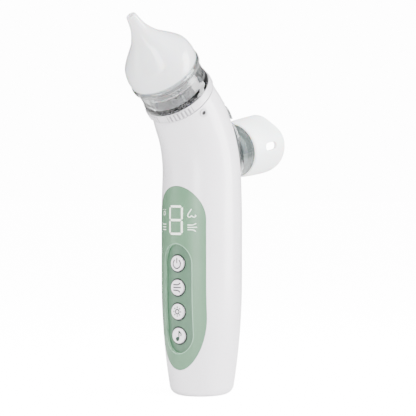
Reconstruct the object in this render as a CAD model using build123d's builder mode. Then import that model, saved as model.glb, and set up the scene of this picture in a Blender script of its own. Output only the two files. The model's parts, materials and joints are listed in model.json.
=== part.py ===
"""Battery nasal aspirator with a clip-on nebuliser, as separate pieces.

Frame: origin at the centre of the flat base, +Z up the grip, the control panel faces -Y and the
nebuliser sits on the back of the neck (+Y). Millimetres.
"""

import os
from math import cos, radians, sin, sqrt

from build123d import *

# ---------------------------------------------------------------- grip and neck
BASE_HALF_DEPTH = 16.6  # half depth of the grip at its foot, before the rounding
BELLY_HALF_DEPTH = 21.8  # half depth at the widest stretch
BELLY_LOW = 60.0  # the widest stretch starts at this height
BELLY_HIGH = 92.0  # and ends at this one
GRIP_SLIMNESS = 0.94  # half width over half depth in the grip
MOUTH_RADIUS = 18.2  # round mouth that carries the head
NECK_SWEEP = 1.3  # how late the neck narrows
BEND_START = 111.0  # the centre line is straight up to here
BEND_RADIUS = 58.4
BEND_ANGLE = 45.0
WALL = 2.4  # housing wall
BASE_ROUND = 5.0  # rounding of the foot
SEAM_GAP = 0.12  # gap at the housing's split lines

# ---------------------------------------------------------------- control panel
PANEL_LOW = 14.0
PANEL_HIGH = 108.0
PANEL_HALF_WIDTH = 14.6
PANEL_LOW_RISE = 29.0  # height of the panel's lower end curve
PANEL_HIGH_RISE = 17.0
PANEL_THICKNESS = 1.4
LEDGE_WIDTH = 2.2  # ledge of the housing that the panel is bonded to
WELL_LOW = 22.5
WELL_HIGH = 78.5
WELL_HALF_WIDTH = 8.8
WELL_RISE = 10.5
WELL_DEPTH = 1.8
WELL_FLOOR = 1.2
WELL_WALL = 1.2
BUTTON_LOW = 31.6  # height of the lowest button
BUTTON_PITCH = 12.3
BUTTON_RADIUS = 4.0
BUTTON_GAP = 0.45  # dark ring round each button
BUTTON_PROUD = 0.7  # button face above the well's floor
BUTTON_FLANGE = 0.9  # how far the flange reaches under the floor
BUTTON_FLANGE_THICK = 0.7
DIGIT_LOW = 83.1
DIGIT_HEIGHT = 15.0
DIGIT_WIDTH = 8.8
SEGMENT_WIDTH = 1.1
SEGMENT_GAP = 0.25
GUIDE_GAP = 0.04

# ---------------------------------------------------------------- rear cover and base
REAR_LOW = 25.0  # lower and upper ends of the rear opening, measured on the back
REAR_HIGH = 102.0
REAR_SPLIT = 7.1  # depth of the straight side seam
REAR_RISE = 20.0
SPEAKER_HEIGHT = 44.0
SPEAKER_HOLE_RADIUS = 0.7
SPEAKER_HOLE_PITCH = 3.0
USB_WIDTH = 8.94
USB_DEPTH = 3.26
USB_LENGTH = 6.8
USB_OFFSET = 5.0  # towards the back from the base centre
USB_GAP = 0.3

# ---------------------------------------------------------------- inside the grip
BOARD_LOW = 21.0
BOARD_HIGH = 104.0
BOARD_HALF_WIDTH = 8.6
BOARD_FRONT = 13.4  # the board's front face, forward of the centre line
BOARD_THICKNESS = 1.6
SPINE_THICKNESS = 1.4
SHELF_THICKNESS = 1.6
SHELF_GAP = 0.5
BATTERY_RADIUS = 8.0
BATTERY_LENGTH = 44.0
MOTOR_RADIUS = 9.6
MOTOR_LENGTH = 21.0
DAMPER_THICKNESS = 1.1
PUMP_RADIUS = 10.4
CRANK_OFFSET = 1.4
SHAFT_RADIUS = 1.0
HOSE_BORE = 1.6
HOSE_WALL = 1.0
PART_GAP = 0.1  # clearance between pieces that only lie against each other

# ---------------------------------------------------------------- head, along the mouth's axis
SOCKET_DISC = 2.4
SEAT_WALL = 2.0  # housing wall round the socket
SKIRT_LENGTH = 5.0
SPIGOT_RADIUS = 15.2
SPIGOT_HEIGHT = 4.0
RUNNING_GAP = 0.12  # radial clearance of pieces that turn or slide on each other
COLLAR_START = 0.35
COLLAR_TOP = 4.7
COLLAR_RADIUS = 18.35
SEAL_THICKNESS = 0.5
CUP_TOP = 15.9
CUP_WALL = 2.3
CUP_RADIUS = 17.5
CUP_FOOT_RADIUS = 18.1
CUP_FLOOR = 1.4
RIM_TOP = 20.2
RIM_RADIUS = 18.8
NOZZLE_TOP = 56.1
NOZZLE_WALL = 1.5
TIP_RADIUS = 2.7
TIP_BORE = 1.6
STEP_HEIGHT = 42.6  # where the dome's inside narrows to the tip's bore
VENT_BEFORE_MOUTH = 3.4
VENT_TURN = 23.0  # degrees from +X towards the front
VENT_RADIUS = 2.2
VENT_BORE = 1.15

# ---------------------------------------------------------------- nebuliser on the neck's back
NEB_ANGLE = 10.5  # tilt of its axis above level
TANK_HALF_WIDTH = 13.4
TANK_BELOW = 15.5  # below the axis
TANK_ABOVE = 18.6  # above the axis
LID_ABOVE = 28.6
TANK_PROUD = 2.7
LID_THICKNESS = 1.3
TANK_WALL = 1.4
DOCK_DEPTH = 8.6  # depth of the pocket behind the neck's surface
DOCK_WALL = 1.6
DOCK_GAP = 0.15
PLATE_RADIUS = 14.6
PLATE_TOP = 4.6
RING_RADIUS = 14.2
RING_TOP = 8.5
SNOUT_RADIUS = 11.2
SNOUT_TOP = 13.6
SNOUT_WALL = 1.5
MASK_TOP = 35.4
MASK_BASE_RADIUS = 15.0
MASK_RIM_RADIUS = 16.3
MASK_WALL = 1.6
MASK_VENT_LENGTH = 9.2
MASK_VENT_HEIGHT = 4.2
MASK_VENT_AT = 21.3

BEND = radians(BEND_ANGLE)
NECK_LENGTH = BEND_START + BEND * BEND_RADIUS
REACH = 60.0  # longer than any cut needs
FRONT = Plane.XZ  # sketches on it are extruded towards -Y


# ================================================================ shared shapes
def half_depth(travel):
    """Half depth of the body at a distance along its centre line."""
    if travel < BELLY_LOW:
        return BELLY_HALF_DEPTH - (BELLY_HALF_DEPTH - BASE_HALF_DEPTH) * (1 - travel / BELLY_LOW) ** 2
    if travel <= BELLY_HIGH:
        return BELLY_HALF_DEPTH
    share = (travel - BELLY_HIGH) / (NECK_LENGTH - BELLY_HIGH)
    return BELLY_HALF_DEPTH - (BELLY_HALF_DEPTH - MOUTH_RADIUS) * share**NECK_SWEEP


def half_width(travel):
    """Half width there: slim in the grip, round at the mouth."""
    share = max(0.0, (travel - BELLY_HIGH) / (NECK_LENGTH - BELLY_HIGH))
    return half_depth(travel) * (GRIP_SLIMNESS + (1 - GRIP_SLIMNESS) * share)


def centre_plane(travel):
    """Plane square to the centre line."""
    if travel <= BEND_START:
        return Plane.XY.offset(travel)
    turn = (travel - BEND_START) / BEND_RADIUS
    middle = (0, -BEND_RADIUS * (1 - cos(turn)), BEND_START + BEND_RADIUS * sin(turn))
    return Plane(origin=middle, x_dir=(1, 0, 0), z_dir=(0, -sin(turn), cos(turn)))


def body_form(inset, foot=0.0, foot_round=0.0):
    """The body's outer form, shrunk by inset all round its axis and starting at height foot."""
    straight = [BELLY_LOW * share for share in (0.2, 0.4, 0.6, 0.8, 1.0)]
    straight += [(BELLY_LOW + BELLY_HIGH) / 2, BELLY_HIGH, (BELLY_HIGH + BEND_START) / 2, BEND_START]
    bent = [BEND_START + (NECK_LENGTH - BEND_START) * step / 5 for step in range(1, 6)]
    with BuildPart() as form:
        for travel in [foot] + straight + bent:
            with BuildSketch(centre_plane(travel)):
                Ellipse(half_width(travel) - inset, half_depth(travel) - inset)
        loft()
        if foot_round:
            fillet(form.edges().group_by(Axis.Z)[0], foot_round)
    return form.part


def egg(half, low, high, low_rise, high_rise, grow=0.0):
    """Upright oval with straight sides."""
    foot = low + low_rise
    head = high - high_rise
    with BuildSketch() as outline:
        with BuildLine():
            Line((half + grow, foot), (half + grow, head))
            EllipticalCenterArc((0, head), half + grow, high_rise + grow, 0, arc_size=180)
            Line((-half - grow, head), (-half - grow, foot))
            EllipticalCenterArc((0, foot), half + grow, low_rise + grow, 180, arc_size=180)
        make_face()
    return outline.sketch


def oval_prism(plane, half, low, high, low_rise, high_rise, grow=0.0, start=0.0, stop=REACH):
    """Straight prism over the oval, between two distances from the plane."""
    with BuildPart() as prism:
        with BuildSketch(plane.offset(start)):
            add(egg(half, low, high, low_rise, high_rise, grow))
        extrude(amount=stop - start)
    return prism.part


def profile_plane(origin, direction):
    """Plane whose local y runs along direction and whose local x is +X."""
    return Plane(origin=origin, x_dir=(1, 0, 0), z_dir=Vector(1, 0, 0).cross(direction))


def ring_profile(*corners):
    """Polygon of (radius, height) corners."""
    with BuildSketch() as outline:
        with BuildLine():
            Polyline(*corners, close=True)
        make_face()
    return outline.sketch


def front_depth(height, across=0.0):
    """How far the grip's front surface stands forward at a height and a distance from the middle."""
    return half_depth(height) * sqrt(1 - (across / half_width(height)) ** 2)


HEAD = centre_plane(NECK_LENGTH)
HEAD_AXIS = Axis(HEAD.origin, HEAD.z_dir)
HEAD_PROFILE = profile_plane(HEAD.origin, HEAD.z_dir)
NEB_TRAVEL = BEND_START + radians(NEB_ANGLE) * BEND_RADIUS
NEB_DIRECTION = Vector(0, cos(radians(NEB_ANGLE)), sin(radians(NEB_ANGLE)))
NEB_ORIGIN = centre_plane(NEB_TRAVEL).origin + NEB_DIRECTION * half_depth(NEB_TRAVEL)
NEB = Plane(origin=NEB_ORIGIN, x_dir=(-1, 0, 0), z_dir=NEB_DIRECTION)
NEB_AXIS = Axis(NEB_ORIGIN, NEB_DIRECTION)
NEB_PROFILE = profile_plane(NEB_ORIGIN, NEB_DIRECTION)
BUTTON_HEIGHTS = [BUTTON_LOW + BUTTON_PITCH * step for step in range(4)]
BUTTON_NAMES = ["button_music", "button_light", "button_suction", "button_power"]

OUTER = body_form(0.0, 0.0, BASE_ROUND)
CAVITY = body_form(WALL, WALL)
PANEL_BACK = body_form(PANEL_THICKNESS)
WELL_FACE = body_form(WELL_DEPTH)
WELL_BACK = body_form(WELL_DEPTH + WELL_FLOOR)


def panel_prism(grow=0.0):
    """Prism over the panel's outline."""
    return oval_prism(
        FRONT, PANEL_HALF_WIDTH, PANEL_LOW, PANEL_HIGH, PANEL_LOW_RISE, PANEL_HIGH_RISE, grow
    )


def well_prism(grow=0.0):
    """Prism over the well's outline."""
    return oval_prism(FRONT, WELL_HALF_WIDTH, WELL_LOW, WELL_HIGH, WELL_RISE, WELL_RISE, grow)


def rear_prism(grow=0.0):
    """Everything behind the rear seam, seen from the side: a straight seam with curved ends."""
    deep = BELLY_HALF_DEPTH - REAR_SPLIT
    with BuildPart() as prism:
        with BuildSketch(Plane.YZ.offset(-REACH)):
            with BuildLine():
                low = REAR_LOW + REAR_RISE
                high = REAR_HIGH - REAR_RISE
                split = REAR_SPLIT - grow
                Line((split, low), (split, high))
                EllipticalCenterArc((split + deep, high), deep, REAR_RISE + grow, 90, arc_size=90)
                Line((split + deep, REAR_HIGH + grow), (REACH, REAR_HIGH + grow))
                Line((REACH, REAR_HIGH + grow), (REACH, REAR_LOW - grow))
                Line((REACH, REAR_LOW - grow), (split + deep, REAR_LOW - grow))
                EllipticalCenterArc((split + deep, low), deep, REAR_RISE + grow, 180, arc_size=90)
            make_face()
        extrude(amount=2 * REACH)
    return prism.part


def tank_prism(grow, start, stop, low=-TANK_BELOW, high=TANK_ABOVE):
    """Prism over the tank's outline on the neck's back."""
    rise = TANK_HALF_WIDTH * 0.8
    return oval_prism(NEB, TANK_HALF_WIDTH, low, high, rise, min(rise, 9.0), grow, start, stop)


# ================================================================ housing
PANEL_REBATE = (panel_prism(SEAM_GAP) & OUTER) - body_form(PANEL_THICKNESS + SEAM_GAP)
PANEL_WINDOW = panel_prism(-LEDGE_WIDTH)
DOCK_BLOCK = tank_prism(DOCK_GAP + DOCK_WALL, -DOCK_DEPTH - DOCK_WALL, REACH, high=LID_ABOVE) & OUTER
DOCK_POCKET = tank_prism(DOCK_GAP, -DOCK_DEPTH, REACH, high=LID_ABOVE)
SEAT_RADIUS = MOUTH_RADIUS - SEAT_WALL
PIN_SPOTS = [(-3.0, 4 - TANK_BELOW), (3.0, 4 - TANK_BELOW)]
PIN_RADIUS = 0.8
VENT_PLANE = Plane(
    origin=centre_plane(NECK_LENGTH - VENT_BEFORE_MOUTH).origin,
    z_dir=Vector(1, 0, 0) * cos(radians(VENT_TURN)) - HEAD.y_dir * sin(radians(VENT_TURN)),
)

with BuildPart() as housing:
    add(OUTER)
    add(CAVITY, mode=Mode.SUBTRACT)
    add(DOCK_BLOCK)
    add(DOCK_POCKET, mode=Mode.SUBTRACT)
    add(PANEL_REBATE, mode=Mode.SUBTRACT)
    add(PANEL_WINDOW, mode=Mode.SUBTRACT)
    add(rear_prism(SEAM_GAP), mode=Mode.SUBTRACT)
    with BuildSketch(Plane.XY.offset(-1)):
        with Locations((0, USB_OFFSET)):
            SlotOverall(USB_WIDTH + 2 * USB_GAP, USB_DEPTH + 2 * USB_GAP)
    extrude(amount=WALL + 2, mode=Mode.SUBTRACT)
    with BuildSketch(VENT_PLANE):
        Circle(VENT_RADIUS)
    extrude(amount=REACH, mode=Mode.SUBTRACT)
    with BuildSketch(HEAD.offset(-SKIRT_LENGTH)):
        Circle(SEAT_RADIUS)
    extrude(amount=SKIRT_LENGTH + 1, mode=Mode.SUBTRACT)
    with BuildSketch(NEB.offset(-DOCK_DEPTH - 2 * DOCK_WALL)):
        with Locations(*PIN_SPOTS):
            Circle(PIN_RADIUS + PART_GAP / 2)
    extrude(amount=3 * DOCK_WALL, mode=Mode.SUBTRACT)
housing.part.label = "housing"

# ================================================================ rear cover
with BuildPart() as rear_cover:
    add(OUTER)
    add(CAVITY, mode=Mode.SUBTRACT)
    add(rear_prism(), mode=Mode.INTERSECT)
    with BuildSketch(Plane(origin=(0, 0, SPEAKER_HEIGHT), x_dir=(-1, 0, 0), z_dir=(0, 1, 0))):
        Circle(SPEAKER_HOLE_RADIUS)
        with PolarLocations(SPEAKER_HOLE_PITCH, 6):
            Circle(SPEAKER_HOLE_RADIUS)
        with PolarLocations(2 * SPEAKER_HOLE_PITCH, 12):
            Circle(SPEAKER_HOLE_RADIUS)
    extrude(amount=REACH, mode=Mode.SUBTRACT)
rear_cover.part.label = "rear_cover"


# ================================================================ control panel
def segment_bar(length, half_thick, turn):
    """One bar of the digit with pointed ends, level or upright."""
    with BuildSketch() as outline:
        with BuildLine():
            Polyline(
                (-length / 2, 0), (-length / 2 + half_thick, half_thick),
                (length / 2 - half_thick, half_thick), (length / 2, 0),
                (length / 2 - half_thick, -half_thick), (-length / 2 + half_thick, -half_thick),
                close=True,
            )
        make_face()
    return outline.sketch.rotate(Axis.Z, turn)


def segments(grow=0.0):
    """The seven bars of the digit, grown by a gap for the windows they shine through."""
    half = (DIGIT_WIDTH - SEGMENT_WIDTH) / 2
    tall = (DIGIT_HEIGHT - SEGMENT_WIDTH) / 2
    foot = DIGIT_LOW + SEGMENT_WIDTH / 2
    thick = SEGMENT_WIDTH / 2 + grow
    level = segment_bar(2 * half - 2 * SEGMENT_GAP + 2 * grow, thick, 0)
    upright = segment_bar(tall - 2 * SEGMENT_GAP + 2 * grow, thick, 90)
    with BuildSketch() as bars:
        with Locations(*[(0, foot + tall * step) for step in range(3)]):
            add(level)
        with Locations(*[(side * half, foot + tall * (step + 0.5)) for side in (-1, 1) for step in (0, 1)]):
            add(upright)
    return bars.sketch


WELL_PAN = (well_prism(WELL_WALL) & OUTER) - WELL_BACK
WELL_CUT = well_prism() - WELL_FACE

with BuildPart() as control_panel:
    add(panel_prism() & OUTER)
    add(PANEL_BACK, mode=Mode.SUBTRACT)
    add(WELL_PAN)
    add(WELL_CUT, mode=Mode.SUBTRACT)
    with BuildSketch(FRONT):
        with Locations(*[(0, height) for height in BUTTON_HEIGHTS]):
            Circle(BUTTON_RADIUS + BUTTON_GAP)
    extrude(amount=REACH, mode=Mode.SUBTRACT)
    with BuildSketch(FRONT):
        add(segments(GUIDE_GAP))
    extrude(amount=REACH, mode=Mode.SUBTRACT)
control_panel.part.label = "control_panel"

GUIDE_FACE = front_depth(BELLY_HIGH, DIGIT_WIDTH / 2 + 2) - PANEL_THICKNESS - 0.6
GUIDE_BASE = 1.0
with BuildPart() as display_light_guide:
    with BuildSketch(FRONT.offset(GUIDE_FACE - GUIDE_BASE)):
        with Locations((0, DIGIT_LOW + DIGIT_HEIGHT / 2)):
            RectangleRounded(DIGIT_WIDTH + 3, DIGIT_HEIGHT + 3, 1.2)
    extrude(amount=GUIDE_BASE)
    with BuildSketch(FRONT.offset(GUIDE_FACE - GUIDE_BASE / 2)):
        add(segments())
    extrude(amount=REACH - GUIDE_FACE)
    add(OUTER, mode=Mode.INTERSECT)
display_light_guide.part.label = "display_light_guide"

DISPLAY_BACK = BOARD_FRONT + PART_GAP
with BuildPart() as display_module:
    with BuildSketch(FRONT.offset(DISPLAY_BACK)):
        with Locations((0, DIGIT_LOW + DIGIT_HEIGHT / 2)):
            RectangleRounded(DIGIT_WIDTH + 2.4, DIGIT_HEIGHT + 2.4, 0.6)
    extrude(amount=GUIDE_FACE - GUIDE_BASE - PART_GAP - DISPLAY_BACK)
display_module.part.label = "display_module"

# ================================================================ buttons, mat and switches
MAT_THICKNESS = 0.6
SWITCH_HEIGHT = 0.7
DOME_HEIGHT = 0.5
MAT_BACK = BOARD_FRONT + SWITCH_HEIGHT + PART_GAP
DOME_FACE = MAT_BACK + MAT_THICKNESS + DOME_HEIGHT
buttons = []
for button_name, height in zip(BUTTON_NAMES, BUTTON_HEIGHTS):
    floor_face = front_depth(height) - WELL_DEPTH
    flange_reach = BUTTON_RADIUS + BUTTON_FLANGE
    low_edge = front_depth(height - flange_reach, flange_reach) - WELL_DEPTH - WELL_FLOOR
    flange_front = low_edge - PART_GAP * 2
    with BuildPart() as button:
        with BuildSketch(FRONT.offset(flange_front - BUTTON_FLANGE_THICK)):
            with Locations((0, height)):
                Circle(flange_reach)
        extrude(amount=BUTTON_FLANGE_THICK)
        with BuildSketch(FRONT.offset(flange_front)):
            with Locations((0, height)):
                Circle(BUTTON_RADIUS)
        extrude(amount=floor_face + BUTTON_PROUD - flange_front)
        fillet(button.edges().group_by(Axis.Y)[0], 0.45)
        with BuildSketch(FRONT.offset(DOME_FACE + PART_GAP / 2)):
            with Locations((0, height)):
                Circle(1.2)
        extrude(amount=flange_front - BUTTON_FLANGE_THICK - DOME_FACE - PART_GAP / 2)
    button.part.label = button_name
    buttons.append(button.part)

with BuildPart() as keypad_mat:
    with BuildSketch(FRONT.offset(MAT_BACK)):
        with Locations((0, (BUTTON_HEIGHTS[0] + BUTTON_HEIGHTS[-1]) / 2)):
            RectangleRounded(
                2 * BOARD_HALF_WIDTH - 2, BUTTON_HEIGHTS[-1] - BUTTON_HEIGHTS[0] + 2 * BUTTON_RADIUS, 2
            )
    extrude(amount=MAT_THICKNESS)
    with BuildSketch(FRONT.offset(MAT_BACK + MAT_THICKNESS)):
        with Locations(*[(0, height) for height in BUTTON_HEIGHTS]):
            Circle(2.6)
    extrude(amount=DOME_HEIGHT, taper=30)
keypad_mat.part.label = "keypad_mat"

with BuildPart() as tact_switches:
    with BuildSketch(FRONT.offset(BOARD_FRONT)):
        with Locations(*[(0, height) for height in BUTTON_HEIGHTS]):
            Rectangle(3.6, 3.6)
    extrude(amount=SWITCH_HEIGHT)
tact_switches.part.label = "tact_switches"

# ================================================================ board and chassis
BOARD_BACK = BOARD_FRONT - BOARD_THICKNESS
SCREW_SPOTS = [(x, z) for x in (-6.4, 6.4) for z in (BOARD_LOW + 3.0, BOARD_HIGH - 2.0)]
with BuildPart() as main_board:
    with BuildSketch(FRONT.offset(BOARD_BACK)):
        with Locations((0, (BOARD_LOW + BOARD_HIGH) / 2)):
            RectangleRounded(2 * BOARD_HALF_WIDTH, BOARD_HIGH - BOARD_LOW, 1.0)
        with Locations(*SCREW_SPOTS):
            Circle(1.0, mode=Mode.SUBTRACT)
    extrude(amount=BOARD_THICKNESS)
main_board.part.label = "main_board"

CHIP_HEIGHT = 0.8
SPINE_FRONT = BOARD_BACK - CHIP_HEIGHT - 0.4
SPINE_BACK = SPINE_FRONT - SPINE_THICKNESS
with BuildPart() as board_chips:
    with BuildSketch(FRONT.offset(BOARD_BACK)):
        with Locations((0, BOARD_LOW + 14)):
            Rectangle(6, 6)
        with Locations((0, BOARD_LOW + 36)):
            Rectangle(7, 7)
        with Locations((-3, BOARD_LOW + 56), (3, BOARD_LOW + 56)):
            Rectangle(3, 4)
    extrude(amount=-CHIP_HEIGHT)
board_chips.part.label = "board_chips"

SHELF_LOW = 10.5
SHELF_LEGS = [(-8.5, -3.0), (8.5, -3.0), (-8.4, 7.4), (8.4, 7.4)]
BATTERY_FOOT = SHELF_LOW + SHELF_THICKNESS + PART_GAP
SHELF_MIDDLE = BATTERY_FOOT + BATTERY_LENGTH + PART_GAP
MOTOR_FOOT = SHELF_MIDDLE + SHELF_THICKNESS + PART_GAP
MOTOR_HEAD = MOTOR_FOOT + MOTOR_LENGTH
BATTERY_Y = BATTERY_RADIUS + PART_GAP - SPINE_BACK
MOTOR_Y = MOTOR_RADIUS + DAMPER_THICKNESS + 2 * PART_GAP - SPINE_BACK


def shelf(height):
    """Oval shelf that fills the cavity at a height, behind the spine's front."""
    with BuildSketch() as outline:
        Ellipse(half_width(height) - WALL - SHELF_GAP, half_depth(height) - WALL - SHELF_GAP)
        with Locations((0, -REACH - SPINE_FRONT)):
            Rectangle(2 * REACH, 2 * REACH, mode=Mode.SUBTRACT)
    return outline.sketch


with BuildPart() as inner_chassis:
    with BuildSketch(FRONT.offset(SPINE_BACK)):
        with Locations((0, (SHELF_LOW + BOARD_HIGH) / 2)):
            Rectangle(2 * BOARD_HALF_WIDTH, BOARD_HIGH - SHELF_LOW)
    extrude(amount=SPINE_THICKNESS)
    for shelf_height in (SHELF_LOW, SHELF_MIDDLE):
        with BuildSketch(Plane.XY.offset(shelf_height)):
            add(shelf(shelf_height))
        extrude(amount=SHELF_THICKNESS)
    with BuildSketch(Plane.XY.offset(WALL)):
        with Locations(*SHELF_LEGS):
            Circle(1.6)
    extrude(amount=SHELF_LOW - WALL + SHELF_THICKNESS / 2)
    with BuildSketch(FRONT.offset(SPINE_FRONT - SPINE_THICKNESS / 2)):
        with Locations(*SCREW_SPOTS):
            Circle(1.9)
    extrude(amount=BOARD_BACK - SPINE_FRONT + SPINE_THICKNESS / 2)
    with BuildSketch(FRONT.offset(SPINE_BACK - 1)):
        with Locations(*SCREW_SPOTS):
            Circle(0.85)
    extrude(amount=REACH, mode=Mode.SUBTRACT)
inner_chassis.part.label = "inner_chassis"

with BuildPart() as board_screws:
    with BuildSketch(FRONT.offset(SPINE_BACK + 0.2)):
        with Locations(*SCREW_SPOTS):
            Circle(0.8)
    extrude(amount=BOARD_FRONT - SPINE_BACK - 0.2)
    with BuildSketch(FRONT.offset(BOARD_FRONT)):
        with Locations(*SCREW_SPOTS):
            Circle(1.6)
        with Locations(*SCREW_SPOTS):
            Rectangle(1.6, 0.4, mode=Mode.SUBTRACT)
            Rectangle(0.4, 1.6, mode=Mode.SUBTRACT)
    extrude(amount=0.6)
board_screws.part.label = "board_screws"

with BuildPart() as battery_cell:
    with BuildSketch(Plane.XY.offset(BATTERY_FOOT)):
        with Locations((0, BATTERY_Y)):
            Circle(BATTERY_RADIUS)
    extrude(amount=BATTERY_LENGTH - 1.0)
    fillet(battery_cell.edges().group_by(Axis.Z)[0], 0.6)
    with BuildSketch(Plane.XY.offset(BATTERY_FOOT + BATTERY_LENGTH - 1.0)):
        with Locations((0, BATTERY_Y)):
            Circle(2.6)
    extrude(amount=1.0)
battery_cell.part.label = "battery_cell"

with BuildPart() as usb_socket:
    with BuildSketch(Plane.XY.offset(USB_GAP)):
        with Locations((0, USB_OFFSET)):
            SlotOverall(USB_WIDTH, USB_DEPTH)
            offset(amount=-0.35, mode=Mode.SUBTRACT)
    extrude(amount=USB_LENGTH)
    with BuildSketch(Plane.XY.offset(USB_GAP + 1.2)):
        with Locations((0, USB_OFFSET)):
            Rectangle(USB_WIDTH - 2.2, 0.7)
    extrude(amount=USB_LENGTH - 1.2)
    with BuildSketch(Plane.XY.offset(USB_GAP + USB_LENGTH - 0.6)):
        with Locations((0, USB_OFFSET)):
            SlotOverall(USB_WIDTH, USB_DEPTH)
    extrude(amount=0.6)
usb_socket.part.label = "usb_socket"

with BuildPart() as charge_board:
    with BuildSketch(Plane.XY.offset(USB_GAP + USB_LENGTH)):
        with Locations((0, USB_OFFSET)):
            RectangleRounded(11.6, 7.0, 0.8)
    extrude(amount=1.2)
charge_board.part.label = "charge_board"

SPEAKER_RADIUS = 8.0
SPEAKER_FRONT = half_depth(SPEAKER_HEIGHT) * sqrt(1 - (SPEAKER_RADIUS / half_width(SPEAKER_HEIGHT)) ** 2)
SPEAKER_FRONT -= WALL + 1.2
SPEAKER_DEPTH = 3.2
with BuildPart() as speaker:
    with BuildSketch(Plane(origin=(0, SPEAKER_FRONT, SPEAKER_HEIGHT), z_dir=(0, -1, 0))):
        Circle(SPEAKER_RADIUS)
    extrude(amount=SPEAKER_DEPTH / 2)
    with BuildSketch(Plane(origin=(0, SPEAKER_FRONT - SPEAKER_DEPTH / 2, SPEAKER_HEIGHT), z_dir=(0, -1, 0))):
        Circle(SPEAKER_RADIUS * 0.6)
    extrude(amount=SPEAKER_DEPTH / 2)
    with BuildSketch(Plane(origin=(0, SPEAKER_FRONT, SPEAKER_HEIGHT), z_dir=(0, -1, 0))):
        Circle(SPEAKER_RADIUS - 0.8)
        Circle(SPEAKER_RADIUS * 0.35, mode=Mode.SUBTRACT)
    extrude(amount=0.5, mode=Mode.SUBTRACT)
speaker.part.label = "speaker"

# ================================================================ motor and diaphragm pump
PUMP_AXIS = Axis((0, MOTOR_Y, 0), (0, 0, 1))
PUMP_PROFILE = Plane(origin=(0, MOTOR_Y, 0), x_dir=(1, 0, 0), z_dir=(0, -1, 0))
PUMP_FOOT = MOTOR_HEAD + PART_GAP
PUMP_CHAMBER = 8.0  # height of the crank chamber's housing
PUMP_TOP = PUMP_FOOT + PUMP_CHAMBER
CRANK_FOOT = PUMP_FOOT + 1.8
with BuildPart() as pump_motor:
    with BuildSketch(PUMP_PROFILE):
        add(ring_profile(
            (0, MOTOR_FOOT), (MOTOR_RADIUS, MOTOR_FOOT), (MOTOR_RADIUS, MOTOR_HEAD), (2.6, MOTOR_HEAD),
            (2.6, MOTOR_HEAD + 0.6), (SHAFT_RADIUS + 0.05, MOTOR_HEAD + 0.6),
            (SHAFT_RADIUS + 0.05, MOTOR_HEAD - 3.2), (0, MOTOR_HEAD - 3.2),
        ))
    revolve(axis=PUMP_AXIS)
pump_motor.part.label = "pump_motor"

with BuildPart() as motor_damper:
    with BuildSketch(Plane.XY.offset(MOTOR_FOOT + 3)):
        with Locations((0, MOTOR_Y)):
            Circle(MOTOR_RADIUS + DAMPER_THICKNESS)
            Circle(MOTOR_RADIUS + PART_GAP / 4, mode=Mode.SUBTRACT)
    extrude(amount=MOTOR_LENGTH - 8)
motor_damper.part.label = "motor_damper"

with BuildPart() as pump_eccentric:
    with BuildSketch(Plane.XY.offset(MOTOR_HEAD - 3.0)):
        with Locations((0, MOTOR_Y)):
            Circle(SHAFT_RADIUS)
    extrude(amount=CRANK_FOOT - MOTOR_HEAD + 3.0)
    with BuildSketch(Plane.XY.offset(CRANK_FOOT)):
        with Locations((0, MOTOR_Y)):
            Circle(3.4)
    extrude(amount=2.2)
    with BuildSketch(Plane.XY.offset(CRANK_FOOT + 2.2)):
        with Locations((CRANK_OFFSET, MOTOR_Y)):
            Circle(0.7)
    extrude(amount=1.9)
pump_eccentric.part.label = "pump_eccentric"

with BuildPart() as pump_housing:
    with BuildSketch(PUMP_PROFILE):
        add(ring_profile(
            (2.9, PUMP_FOOT), (PUMP_RADIUS, PUMP_FOOT), (PUMP_RADIUS, PUMP_TOP), (PUMP_RADIUS - 1.4, PUMP_TOP),
            (PUMP_RADIUS - 1.4, PUMP_FOOT + 1.2), (2.9, PUMP_FOOT + 1.2),
        ))
    revolve(axis=PUMP_AXIS)
pump_housing.part.label = "pump_housing"

ROCKER_FOOT = CRANK_FOOT + 2.5
with BuildPart() as pump_rocker:
    with BuildSketch(Plane.XY.offset(ROCKER_FOOT)):
        with Locations((0, MOTOR_Y)):
            Circle(4.0)
            Circle(CRANK_OFFSET + 0.7 + 0.3, mode=Mode.SUBTRACT)
        with Locations(Location((0, MOTOR_Y))):
            with PolarLocations(5.2, 3):
                RectangleRounded(3.2, 3.4, 0.8)
    extrude(amount=1.2)
    with BuildSketch(Plane.XY.offset(ROCKER_FOOT + 1.2)):
        with Locations(Location((0, MOTOR_Y))):
            with PolarLocations(5.4, 3):
                Circle(0.9)
    extrude(amount=PUMP_TOP - ROCKER_FOOT - 1.2)
pump_rocker.part.label = "pump_rocker"

DIAPHRAGM = 1.0
with BuildPart() as pump_diaphragm:
    with BuildSketch(Plane.XY.offset(PUMP_TOP)):
        with Locations((0, MOTOR_Y)):
            Circle(PUMP_RADIUS)
    extrude(amount=DIAPHRAGM)
pump_diaphragm.part.label = "pump_diaphragm"

VALVE_PLATE = 1.4
VALVE_FOOT = PUMP_TOP + DIAPHRAGM
with BuildPart() as pump_valve_plate:
    with BuildSketch(Plane.XY.offset(VALVE_FOOT)):
        with Locations((0, MOTOR_Y)):
            Circle(PUMP_RADIUS)
        with Locations(Location((0, MOTOR_Y))):
            with PolarLocations(5.4, 3):
                Circle(1.0, mode=Mode.SUBTRACT)
    extrude(amount=VALVE_PLATE)
pump_valve_plate.part.label = "pump_valve_plate"

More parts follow.
